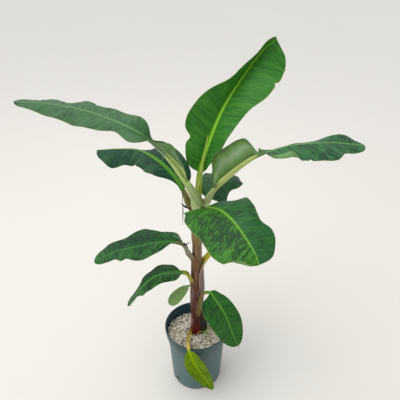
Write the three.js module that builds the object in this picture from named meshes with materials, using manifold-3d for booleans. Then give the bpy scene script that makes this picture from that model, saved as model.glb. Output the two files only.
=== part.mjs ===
// A young banana plant in a round plastic nursery pot.
//
// Millimetres, +Z up. The origin is the centre of the pot's flat underside, and the plant is
// seen from the front along +Y, with +X to the right.
//
// One red-brown pseudostem carries twelve leaves and a rolled new one. Each leaf is a limb of
// its own, the petiole, and a thin blade that carries the petiole on as its rib. Pieces that
// touch in life are kept CLEARANCE apart.

import * as THREE from "three";
import Module from "manifold-3d";

const wasm = await Module();
wasm.setup();

// Driving dimensions

const CLEARANCE = 0.3;

const POT_RIM_DIAMETER = 210;
const POT_BASE_DIAMETER = 168;
const POT_HEIGHT = 235;
const POT_WALL = 2.4;
const POT_FLOOR = 3;
const POT_SIDES = 40;
const COLLAR_HEIGHT = 30;
const COLLAR_DRAFT = 2;
const SHOULDER_DROP = 30;
const SHOULDER_INSET = 8;

const SLOT_COUNT = 5;
const SLOT_FIRST_ANGLE = -75;
const SLOT_WIDTH = 14;
const SLOT_HEIGHT = 9;
const SLOT_DEPTH = 12;

const MIX_TOP = 176;
const GRAVEL_AT_STEM = 212;
const GRAVEL_AT_FRONT = 220;
const GRAVEL_AT_BACK = 190;
const MOUND_INNER = 31;
const MOUND_OUTER = 60;

// Pseudostem: its axis leans a little, and it swells at the foot.
const STEM_FOOT = GRAVEL_AT_STEM + CLEARANCE;
const STEM_TOP = 702;
const STEM_AXIS = [[3, 0], [4, 0], [3, -1], [5, 0]];
const STEM_RADIUS = [23, 21, 19.5, 16.5, 15, 13];
const STEM_SIDES = 20;
const STEM_ROWS = 16;

// Leaves. Each midrib runs from its foot on the stem to its tip, and its first `stalk`
// millimetres are petiole. `faces` is the way the upper side looks, `roll` turns the blade
// about its midrib, and each half has its own lift, in degrees above flat, and its own share
// of half the width. `pinch` draws both halves in where a blade folds over. Lists are even
// steps from the blade's base to its tip.
const THICKNESS_SHARE = 0.0105;
const UP = [0, 0, 1];

const LEAVES = [
  {
    name: "top",
    midrib: [
      [5, 3, 692], [9, 6, 785], [15, 10, 840], [35, 25, 910],
      [72, 50, 998], [125, 85, 1075], [175, 110, 1135], [209, 122, 1157],
    ],
    stalk: 138, foot: 22, neck: 16,
    width: 180, widest: 0.6, shoulder: 2.8, taper: 2.6,
    faces: [-0.2, -0.9, 0.35], roll: [0, 0, -5, -15, -25],
    left: {
      lift: [30, 20, 22, 40, 60, 65, 60],
      share: [0.8, 0.8, 0.85, 0.75, 0.5, 0.45, 0.8],
    },
    right: { lift: [40, 30, 25, 30, 28, 10], share: [0.3, 0.6, 0.65, 0.9, 1.1, 1.4] },
    ruffle: 0.06, waves: 4,
  },
  {
    name: "far_left",
    midrib: [
      [0, -8, 690], [-20, -30, 790], [-68, -65, 903], [-112, -85, 973], [-147, -80, 1000],
      [-202, -55, 1015], [-275, -20, 1025], [-370, 20, 1025], [-473, 55, 1017],
    ],
    stalk: 160, foot: 34, neck: 18,
    width: 130, widest: 0.55, shoulder: 2.2, taper: 1.9,
    faces: UP, roll: [0],
    left: {
      lift: [80, 80, 50, -5, -10, -16, -16, -16, -10],
      share: [0.3, 0.45, 0.55, 0.7, 1, 0.55, 0.76, 0.95, 0.83, 0.88, 0.75, 0.75, 0.8],
    },
    right: {
      lift: [80, 80, 75, 30, 0, -5, -14, -14, -5],
      share: [0.3, 0.5, 0.45, 0.62, 0.7, 0.87, 1.05, 1, 1],
    },
    pinch: { at: 0.28, depth: 0.75, width: 0.04 },
    ruffle: 0.07, waves: 6,
  },
  {
    name: "far_right",
    midrib: [
      [9, -8, 690], [32, -28, 790], [77, -50, 858], [121, -62, 898], [155, -65, 920],
      [200, -60, 937], [252, -45, 942], [333, -25, 936], [390, -10, 921], [442, 0, 905],
    ],
    stalk: 130, foot: 30, neck: 15,
    width: 140, widest: 0.5, shoulder: 2.2, taper: 1.9,
    faces: UP, roll: [0],
    left: {
      lift: [80, 84, 85, 85, 40, -20, -30, -28, -24, -10, 5, 10, 0],
      share: [0.5, 0.6, 0.6, 0.6, 0.4, 0.35, 0.45, 0.5, 0.5, 0.6, 0.75, 1.4, 1.2],
    },
    right: {
      lift: [80, 80, 80, 85, 90, 0, -10, -10, -10, -10, -10, -10, -10],
      share: [0.7, 0.8, 1.15, 0.92, 0.85, 0.65, 0.75, 0.8, 0.85, 1.35, 0.75, 0.85, 1],
    },
    pinch: { at: 0.365, depth: 0.75, width: 0.03 },
    ruffle: 0.06, waves: 4,
  },
  {
    name: "back_left",
    midrib: [
      [-4, 6, 680], [-24, 22, 755], [-60, 45, 792], [-102, 72, 825],
      [-160, 100, 849], [-227, 125, 840], [-294, 145, 825],
    ],
    stalk: 90, foot: 22, neck: 10,
    width: 150, widest: 0.45, shoulder: 2.2, taper: 1.9,
    faces: UP, roll: [0],
    left: {
      lift: [10, 0, -10, -30, -40, -40, -20],
      share: [0.15, 0.4, 0.65, 0.72, 0.8, 1.1, 1.1],
    },
    right: { lift: [30, 45, 30, -20, -50, -50, -30], share: [1, 0.85, 0.85, 1, 1] },
    ruffle: 0.06, waves: 5,
  },
  {
    name: "back_right",
    midrib: [
      [14, 8, 685], [34, 28, 735], [59, 60, 750], [81, 105, 743],
      [101, 155, 728], [113, 195, 708], [121, 228, 688],
    ],
    stalk: 55, foot: 22, neck: 14,
    width: 150, widest: 0.45, shoulder: 2.2, taper: 2.6,
    faces: UP, roll: [0],
    left: { lift: [10, 0, -5, -10], share: [1] },
    right: {
      lift: [-70, -70, -64, -64, -56, -40, -26, -13, -8, -9, -10, -10, -10],
      share: [1.2, 1.25, 1, 0.88, 0.64, 0.52, 0.65, 0.7, 0.5, 0.4, 0.35, 0.4, 0.5],
    },
    ruffle: 0.05, waves: 4,
  },
  {
    name: "front",
    midrib: [
      [8, -12, 690], [18, -38, 740], [41, -80, 773], [68, -130, 797],
      [98, -185, 799], [125, -230, 782], [144, -262, 762], [151, -278, 745],
    ],
    stalk: 70, foot: 24, neck: 12,
    width: 215, widest: 0.45, shoulder: 2.3, taper: 2.3,
    faces: UP, roll: [0],
    left: { lift: [5, 5, 10, 5, 0], share: [0.52, 0.58, 0.83, 0.68, 0.63, 0.8, 0.88] },
    right: { lift: [5, -12, -25, -25, -10], share: [0.97, 0.93, 0.86, 0.98, 1.05] },
    ruffle: 0.04, waves: 4,
  },
  {
    name: "mid_left",
    midrib: [
      [-9, -5, 515], [-27, -12, 571], [-53, -18, 601], [-105, -25, 612],
      [-163, -32, 604], [-228, -40, 592], [-276, -46, 572], [-300, -50, 557],
    ],
    stalk: 75, foot: 22, neck: 11,
    width: 125, widest: 0.45, shoulder: 2.2, taper: 1.9,
    faces: UP, roll: [0],
    left: { lift: [10, 0, -5, -5, -5], share: [0.15, 0.75, 0.9, 0.85, 0.8] },
    right: { lift: [10, 5, 0, 0, 0], share: [1, 1, 1, 0.85, 0.8] },
    ruffle: 0.05, waves: 4,
  },
  {
    name: "mid_right",
    midrib: [
      [10, 0, 480], [30, 5, 520], [47, 12, 540], [75, 45, 545],
      [112, 100, 535], [155, 160, 515], [185, 200, 480],
    ],
    stalk: 90, foot: 20, neck: 11,
    width: 90, widest: 0.45, shoulder: 2.2, taper: 1.9,
    faces: UP, roll: [0],
    left: { lift: [10, 0, -10], share: [1] },
    right: { lift: [10, 0, -10], share: [1] },
    ruffle: 0.06, waves: 4,
  },
  {
    name: "low_left",
    midrib: [
      [-7, -5, 405], [-22, -12, 460], [-43, -20, 486], [-82, -33, 500],
      [-115, -42, 498], [-147, -51, 480], [-177, -58, 447], [-214, -62, 391],
    ],
    stalk: 98, foot: 18, neck: 10,
    width: 85, widest: 0.45, shoulder: 2.2, taper: 1.9,
    faces: UP, roll: [0],
    left: { lift: [0, -5, 0], share: [0.6, 1, 1, 1, 0.9] },
    right: { lift: [0, 0, 0], share: [1, 0.9, 0.7, 0.6, 0.6] },
    ruffle: 0.06, waves: 4,
  },
  {
    name: "small",
    midrib: [[-8, 12, 400], [-20, 22, 395], [-40, 28, 371], [-65, 32, 335], [-91, 36, 292]],
    stalk: 25, foot: 8, neck: 5,
    width: 40, widest: 0.62, shoulder: 1.8, taper: 2,
    faces: [-0.3, -0.9, 0.4], roll: [0],
    left: { lift: [10], share: [1] },
    right: { lift: [10], share: [1] },
    ruffle: 0.04, waves: 3,
  },
  {
    name: "low_right",
    midrib: [
      [26, -10, 222], [25, -14, 290], [22, -22, 350], [25, -33, 405], [42, -42, 425],
      [60, -55, 406], [80, -68, 380], [98, -80, 345], [115, -91, 295], [134, -102, 250],
    ],
    stalk: 220, foot: 24, neck: 10,
    width: 105, widest: 0.45, shoulder: 2.4, taper: 1.9,
    faces: [0.3, -0.8, 0.5], roll: [0],
    left: { lift: [10], share: [0.65, 0.75, 0.85, 0.85] },
    right: { lift: [5], share: [1.35, 1.2, 1.05, 1.05] },
    ruffle: 0.03, waves: 3,
  },
  {
    name: "rim",
    midrib: [
      [-18, -10, 228], [-26, -60, 236], [-25, -108, 243], [-10, -127, 203],
      [15, -132, 150], [56, -130, 62],
    ],
    stalk: 110, foot: 9, neck: 7,
    width: 64, widest: 0.36, shoulder: 2.2, taper: 1.5,
    faces: [0, -1, 0.3], roll: [0],
    left: { lift: [15], share: [1] },
    right: { lift: [15], share: [1] },
    ruffle: 0.03, waves: 3,
  },
];

// The rolled new leaf stands in front of the top one.
const SPEAR_AXIS = [[5, -3, 692], [8, -4, 775], [15, -2, 840], [25, 1, 895], [33, 4, 942]];
const SPEAR_RADIUS = [5, 5.5, 5, 3.5, 1];

const BLADE_ROW_SPACING = 22;
const FEWEST_BLADE_ROWS = 10;
const BLADE_STEPS = [0.35, 0.7, 1];
const STALK_ROWS = 12;
const STALK_SIDES = 10;
const STALK_UPPER_SHARE = 0.3;
const STALK_UNDER_SHARE = 0.9;
const FOOT_TIP_SHARE = 0.3;
const FOOT_SWELL = 0.2;

// Materials

const finish = (color, roughness) =>
  new THREE.MeshStandardMaterial({ color, roughness, metalness: 0, side: THREE.DoubleSide });

const FINISHES = {
  pot: finish(0x4b646e, 0.45),
  mix: finish(0x3a2c20, 0.95),
  gravel: finish(0xbeb4a5, 0.9),
  stem: finish(0x7a3f36, 0.5),
  stalk: finish(0xa8bd74, 0.45),
  blade: finish(0x3a7a37, 0.4),
  youngBlade: finish(0x7d9420, 0.4),
  spear: finish(0xa9bf4a, 0.45),
};

const YOUNG_LEAVES = ["rim"];

// Curves and lists

const radians = THREE.MathUtils.degToRad;

const vector = ([x, y, z]) => new THREE.Vector3(x, y, z);

function smoothCurve(points) {
  return new THREE.CatmullRomCurve3(points.map(vector), false, "catmullrom", 0.5);
}

// The value a share `t` of the way along a list, on the smooth curve through its values.
function along(values, t) {
  if (values.length === 1) return values[0];
  const curve = new THREE.SplineCurve(values.map((value, index) => new THREE.Vector2(index, value)));
  return curve.getPoint(t).y;
}

// Solids

// A closed skin over rings with equal numbers of points, with a fan over each end.
function loft(rings) {
  const around = rings[0].length;
  const points = rings.flat();
  const triangles = [];
  for (let row = 0; row + 1 < rings.length; row += 1) {
    for (let column = 0; column < around; column += 1) {
      const here = row * around + column;
      const next = row * around + ((column + 1) % around);
      triangles.push([here, next, next + around], [here, next + around, here + around]);
    }
  }
  for (const [row, turn] of [[0, false], [rings.length - 1, true]]) {
    const centre = points.length;
    const total = rings[row].reduce((sum, point) => sum.add(point), new THREE.Vector3());
    points.push(total.divideScalar(around));
    for (let column = 0; column < around; column += 1) {
      const here = row * around + column;
      const next = row * around + ((column + 1) % around);
      triangles.push(turn ? [here, next, centre] : [next, here, centre]);
    }
  }
  return solidFrom(points, triangles);
}

function signedVolume(points, triangles) {
  const cross = new THREE.Vector3();
  let total = 0;
  for (const [a, b, c] of triangles) {
    total += points[a].dot(cross.crossVectors(points[b], points[c]));
  }
  return total / 6;
}

function solidFrom(points, triangles) {
  const outward = signedVolume(points, triangles) > 0;
  const index = triangles.flatMap(([a, b, c]) => (outward ? [a, b, c] : [a, c, b]));
  return new wasm.Manifold(new wasm.Mesh({
    numProp: 3,
    vertProperties: new Float32Array(points.flatMap((point) => point.toArray())),
    triVerts: new Uint32Array(index),
  }));
}

function geometryOf(solid) {
  const mesh = solid.getMesh();
  const geometry = new THREE.BufferGeometry();
  geometry.setAttribute("position", new THREE.BufferAttribute(mesh.vertProperties, 3));
  geometry.setIndex(new THREE.BufferAttribute(mesh.triVerts, 1));
  geometry.computeVertexNormals();
  return geometry;
}

// Pot, potting mix and gravel

// Where the pot's outer wall bends: a straight draft, a shoulder, and a collar.
const COLLAR_FOOT = POT_HEIGHT - COLLAR_HEIGHT;
const COLLAR_RADIUS = POT_RIM_DIAMETER / 2 - COLLAR_DRAFT;
const POT_BENDS = [
  { height: 0, radius: POT_BASE_DIAMETER / 2 },
  { height: COLLAR_FOOT - SHOULDER_DROP, radius: COLLAR_RADIUS - SHOULDER_INSET },
  { height: COLLAR_FOOT, radius: COLLAR_RADIUS },
  { height: POT_HEIGHT, radius: POT_RIM_DIAMETER / 2 },
];

function potRadius(height) {
  const above = Math.max(1, POT_BENDS.findIndex((bend) => bend.height >= height));
  const [low, high] = [POT_BENDS[above - 1], POT_BENDS[above]];
  const share = (height - low.height) / (high.height - low.height);
  return THREE.MathUtils.lerp(low.radius, high.radius, share);
}

function wallHeights(from, to) {
  const between = POT_BENDS.map((bend) => bend.height).filter((height) => height > from && height < to);
  return [from, ...between, to];
}

function circle(radius, height, sides, centre = [0, 0]) {
  const ring = [];
  for (let side = 0; side < sides; side += 1) {
    const angle = 2 * Math.PI * side / sides;
    const x = centre[0] + radius * Math.cos(angle);
    const y = centre[1] + radius * Math.sin(angle);
    ring.push(new THREE.Vector3(x, y, height));
  }
  return ring;
}

function drainSlot(angle) {
  const reach = POT_BASE_DIAMETER / 2;
  const rings = [reach - SLOT_DEPTH / 2, reach + SLOT_DEPTH].map((distance) =>
    [[-1, -1], [1, -1], [1, 1], [-1, 1]].map(([across, up]) => {
      const x = distance;
      const y = across * SLOT_WIDTH / 2;
      const corner = new THREE.Vector3(x, y, up > 0 ? SLOT_HEIGHT : -1);
      return corner.applyAxisAngle(vector(UP), radians(angle));
    }));
  return loft(rings);
}

function makePot() {
  const outer = wallHeights(0, POT_HEIGHT);
  const inner = wallHeights(POT_FLOOR, POT_HEIGHT).reverse();
  const shell = loft([
    ...outer.map((height) => circle(potRadius(height), height, POT_SIDES)),
    ...inner.map((height) => circle(potRadius(height) - POT_WALL, height, POT_SIDES)),
  ]);
  let pot = shell;
  for (let slot = 0; slot < SLOT_COUNT; slot += 1) {
    pot = pot.subtract(drainSlot(SLOT_FIRST_ANGLE + slot * 360 / SLOT_COUNT));
  }
  return pot;
}

const fillRadius = (height) => potRadius(height) - POT_WALL - CLEARANCE;

function makePottingMix() {
  const heights = wallHeights(POT_FLOOR + CLEARANCE, MIX_TOP);
  return loft(heights.map((height) => circle(fillRadius(height), height, POT_SIDES)));
}

// The gravel is highest at the front, lies lower at the back, and is level round the stem.
function gravelHeight(x, y) {
  const middle = (GRAVEL_AT_FRONT + GRAVEL_AT_BACK) / 2;
  const slope = (GRAVEL_AT_BACK - GRAVEL_AT_FRONT) / POT_RIM_DIAMETER;
  const away = THREE.MathUtils.smoothstep(Math.hypot(x, y), MOUND_INNER, MOUND_OUTER);
  return THREE.MathUtils.lerp(GRAVEL_AT_STEM, middle + slope * y, away);
}

function makeGravel() {
  const floor = MIX_TOP + CLEARANCE;
  const rim = circle(fillRadius(floor), floor, POT_SIDES);
  const heightAt = (point) => {
    const outer = point.clone().setLength(POT_RIM_DIAMETER / 2);
    return gravelHeight(outer.x, outer.y);
  };
  const wall = [0.5, 1].map((share) => rim.map((point) => {
    const direction = new THREE.Vector3(point.x, point.y, 0).normalize();
    const height = THREE.MathUtils.lerp(floor, heightAt(direction), share);
    return direction.multiplyScalar(fillRadius(height)).setZ(height);
  }));
  const edge = wall[wall.length - 1];
  const top = [0.8, 0.62, 0.48, 0.32, 0.12].map((share) => edge.map((point) => {
    const x = point.x * share;
    const y = point.y * share;
    return new THREE.Vector3(x, y, gravelHeight(x, y));
  }));
  return loft([rim, ...wall, ...top]);
}

// Pseudostem

function makeStem(grown = 0) {
  const rings = [];
  for (let row = 0; row <= STEM_ROWS; row += 1) {
    const t = row / STEM_ROWS;
    const centre = [0, 1].map((axis) => along(STEM_AXIS.map((point) => point[axis]), t));
    const height = THREE.MathUtils.lerp(STEM_FOOT - grown, STEM_TOP + grown, t);
    rings.push(circle(along(STEM_RADIUS, t) + grown, height, STEM_SIDES, centre));
  }
  return loft(rings);
}

// Leaves

// Where a midrib is, how it runs, and which way its right side and upper side look.
function frameAt(curve, length, distance, faces, roll) {
  const share = THREE.MathUtils.clamp(distance / length, 0, 1);
  const run = curve.getTangentAt(share);
  const right = new THREE.Vector3().crossVectors(run, vector(faces)).normalize();
  right.applyAxisAngle(run, -radians(roll));
  const upper = new THREE.Vector3().crossVectors(right, run);
  return { origin: curve.getPointAt(share), run, right, upper };
}

// The half-width of a blade, as a share of the widest, from its base to its tip.
function outline({ widest, shoulder, taper }, t) {
  const [share, power] = t < widest
    ? [(widest - t) / widest, shoulder]
    : [(t - widest) / (1 - widest), taper];
  return (1 - share ** power) ** (1 / power);
}

// How much of its width a blade keeps where it folds over.
function pinched({ pinch }, t) {
  if (!pinch) return 1;
  return 1 - pinch.depth * Math.exp(-(((t - pinch.at) / pinch.width) ** 2));
}

function ribRadius(leaf, t) {
  return THREE.MathUtils.lerp(leaf.neck / 2, 1, t);
}

// One row of points across a blade: its upper face from left to right, then its lower face
// from right to left.
function bladeRing(leaf, curve, length, t, thickness) {
  const distance = leaf.stalk + t * (length - leaf.stalk);
  const { origin, right, upper } = frameAt(curve, length, distance, leaf.faces, along(leaf.roll, t));
  const rib = ribRadius(leaf, t);
  const halfWidth = leaf.width / 2 * outline(leaf, t) * pinched(leaf, t);
  const fill = THREE.MathUtils.smoothstep(t, 0, 0.08);
  const place = (sideways, upward) =>
    origin.clone().addScaledVector(right, sideways).addScaledVector(upper, upward);
  const faces = { top: { left: [], right: [] }, under: { left: [], right: [] } };
  for (const [name, side] of [["left", -1], ["right", 1]]) {
    const half = leaf[name];
    const reach = Math.max(halfWidth * along(half.share, t), rib + 0.5);
    const lift = radians(along(half.lift, t)) * fill;
    const wave = Math.sin(2 * Math.PI * leaf.waves * t + side) * leaf.ruffle * reach * fill;
    for (const step of [0, ...BLADE_STEPS]) {
      const out = rib + (reach - rib) * step;
      const rise = wave * step * step;
      const halfPoint = (away, up) => place(
        side * (away * Math.cos(lift) - up * Math.sin(lift)),
        away * Math.sin(lift) + up * Math.cos(lift),
      );
      faces.top[name].push(halfPoint(out, rise));
      faces.under[name].push(halfPoint(out, rise - thickness));
    }
  }
  const keel = thickness + rib * 0.9;
  return [
    ...faces.top.left.reverse(), place(0, 0), ...faces.top.right,
    ...faces.under.right.reverse(), place(0, -keel), ...faces.under.left,
  ];
}

function makeBlade(leaf) {
  const curve = smoothCurve(leaf.midrib);
  const length = curve.getLength();
  const thickness = length * THICKNESS_SHARE;
  const rows = Math.max(FEWEST_BLADE_ROWS, Math.round((length - leaf.stalk) / BLADE_ROW_SPACING));
  const rings = [];
  for (let row = 0; row <= rows; row += 1) {
    rings.push(bladeRing(leaf, curve, length, row / rows, thickness));
  }
  return loft(rings);
}

// A petiole has a flattened upper side and a rounded under side, and its foot swells out of
// the stem.
function makeStalk(leaf, grown = 0) {
  const curve = smoothCurve(leaf.midrib);
  const length = curve.getLength();
  const end = leaf.stalk - CLEARANCE + grown;
  const rings = [];
  for (let row = 0; row <= STALK_ROWS; row += 1) {
    const t = row / STALK_ROWS;
    const frame = frameAt(curve, length, end * t, leaf.faces, along(leaf.roll, 0));
    const { origin, run, right, upper } = frame;
    if (row === 0) origin.addScaledVector(run, -grown);
    const swell = THREE.MathUtils.lerp(FOOT_TIP_SHARE, 1, THREE.MathUtils.smoothstep(t, 0, FOOT_SWELL));
    const radius = THREE.MathUtils.lerp(leaf.foot, leaf.neck, t ** 0.6) / 2 * swell;
    const ring = [];
    for (let side = 0; side < STALK_SIDES; side += 1) {
      const angle = 2 * Math.PI * side / STALK_SIDES;
      const upward = Math.sin(angle);
      const depth = radius * (upward > 0 ? STALK_UPPER_SHARE : STALK_UNDER_SHARE);
      ring.push(origin.clone()
        .addScaledVector(right, (radius + grown) * Math.cos(angle))
        .addScaledVector(upper, (depth + grown) * upward));
    }
    rings.push(ring);
  }
  return loft(rings);
}

function makeSpear(grown = 0) {
  const curve = smoothCurve(SPEAR_AXIS);
  const rings = [];
  for (let row = 0; row <= STALK_ROWS; row += 1) {
    const t = row / STALK_ROWS;
    rings.push(circle(along(SPEAR_RADIUS, t) + grown, 0, STALK_SIDES)
      .map((point) => point.add(curve.getPointAt(t))));
  }
  return loft(rings);
}

// Assembly

const group = new THREE.Group();

function add(name, solid, material) {
  const mesh = new THREE.Mesh(geometryOf(solid), material);
  mesh.name = name;
  group.add(mesh);
}

add("pot", makePot(), FINISHES.pot);
add("potting_mix", makePottingMix(), FINISHES.mix);
add("gravel_layer", makeGravel(), FINISHES.gravel);
add("pseudostem", makeStem(), FINISHES.stem);

// The spear and each petiole are cut clear of the stem and of those beside them in the crown.
const neighbours = [makeStem(CLEARANCE)];

function addInCrown(name, make, material) {
  let solid = make(0);
  for (const neighbour of neighbours) solid = solid.subtract(neighbour);
  add(name, solid, material);
  neighbours.push(make(CLEARANCE));
}

addInCrown("spear", makeSpear, FINISHES.spear);
for (const leaf of LEAVES) {
  addInCrown(`petiole_${leaf.name}`, (grown) => makeStalk(leaf, grown), FINISHES.stalk);
}

for (const leaf of LEAVES) {
  const blade = YOUNG_LEAVES.includes(leaf.name) ? FINISHES.youngBlade : FINISHES.blade;
  add(`leaf_${leaf.name}`, makeBlade(leaf), blade);
}

export default group;
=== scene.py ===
# A young banana plant in a round plastic nursery pot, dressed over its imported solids.
#
# The plant is seen from the front along +Y, with +X to the right. Blender works in metres;
# the plant's own lists are in millimetres, as its solids are, and MM turns them into metres.

import math
import random
from bisect import bisect_left

import bpy
from mathutils import Euler, Matrix, Quaternion, Vector
from mathutils.noise import noise


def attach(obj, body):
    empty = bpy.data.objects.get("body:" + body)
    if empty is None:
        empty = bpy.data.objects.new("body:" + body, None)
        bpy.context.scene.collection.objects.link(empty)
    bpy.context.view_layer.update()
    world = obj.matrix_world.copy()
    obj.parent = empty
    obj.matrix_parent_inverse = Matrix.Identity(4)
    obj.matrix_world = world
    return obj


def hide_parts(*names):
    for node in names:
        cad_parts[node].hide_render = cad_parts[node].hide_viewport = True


bl_info = {
    "name": "Potted banana plant",
    "version": (1, 0, 0),
    "blender": (4, 5, 0),
    "location": "3D View > Sidebar > Banana plant",
    "description": "Models a young banana plant, its pot and its gravel over the packed solids",
    "category": "Add Mesh",
}

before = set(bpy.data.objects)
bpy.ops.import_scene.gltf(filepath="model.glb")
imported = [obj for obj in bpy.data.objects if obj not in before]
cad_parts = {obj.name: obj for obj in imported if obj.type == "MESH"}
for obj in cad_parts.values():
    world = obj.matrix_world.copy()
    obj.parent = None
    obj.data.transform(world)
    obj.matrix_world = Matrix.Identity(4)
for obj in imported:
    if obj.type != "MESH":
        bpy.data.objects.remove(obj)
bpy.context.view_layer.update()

MM = 0.001
UP = (0, 0, 1)

# The pot's wall bends at these heights, and the gravel lies on this slope.
POT_BENDS = [(0, 84), (175, 95), (205, 103), (235, 105)]
POT_WALL = 2.4
POT_FLOOR = 3
SLOT_COUNT = 5
SLOT_FIRST_ANGLE = -75
SLOT_WIDTH = 14
SLOT_HEIGHT = 9
HOLE_FIRST_ANGLE = -140
HOLE_LOW = 21
HOLE_HIGH = 32
GRAVEL_AT_STEM = 212
GRAVEL_AT_FRONT = 220
GRAVEL_AT_BACK = 190
MOUND_INNER = 31
MOUND_OUTER = 60

STEM_FOOT = 212.3
STEM_TOP = 702
STEM_AXIS = [(3, 0), (4, 0), (3, -1), (5, 0)]
STEM_RADIUS = [23, 21, 19.5, 16.5, 15, 13]

# Each midrib runs from its foot on the stem to its tip, and its first `stalk` millimetres are
# petiole, `foot` wide where it starts and `neck` wide where the blade does. `ribs` is the
# midrib's half-width along the blade. The blade is `width` across at its `widest` place, and
# `shoulder` and `taper` say how full it is before and after that. `waves` counts the waves of its
# halves and `ruffle` is their height, as a share of the reach. `faces` is the way the upper side
# looks, `roll` turns the blade about its midrib, and each half has its own lift, in degrees above
# flat, and its own share of half the width. `pinch` draws both halves in where a blade folds
# over: its place, depth and width. `sheath` is how far the petiole's foot runs down the stem, how
# many degrees it wraps to each side, and how far it stands off the stem. `green`, `rib` and
# `bough` are the colours of the blade, its midrib and its petiole, as a screen shows them.
# `blotches` are how much dark marks cover, and `deep` how much painted shade darkens the green
# towards blue, on the left and on the right half. `nicks` are tears in the margin: side, place
# along the blade, depth and width. `curls` are stretches of margin that roll over and show their
# pale side: side, place along the blade and spread. `merges` is how far up a petiole the stem's
# own skin runs, and `pale` says where the pale foot of a blade ends and what colour it has. USUAL
# holds what most leaves share.
USUAL = dict(
    widest=0.45, shoulder=2.2, taper=1.9, pinch=(0, 0, 1), faces=UP, roll=[0], ruffle=0.06, waves=4,
    deep=(0, 0), nicks=[], curls=[],
)
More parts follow.
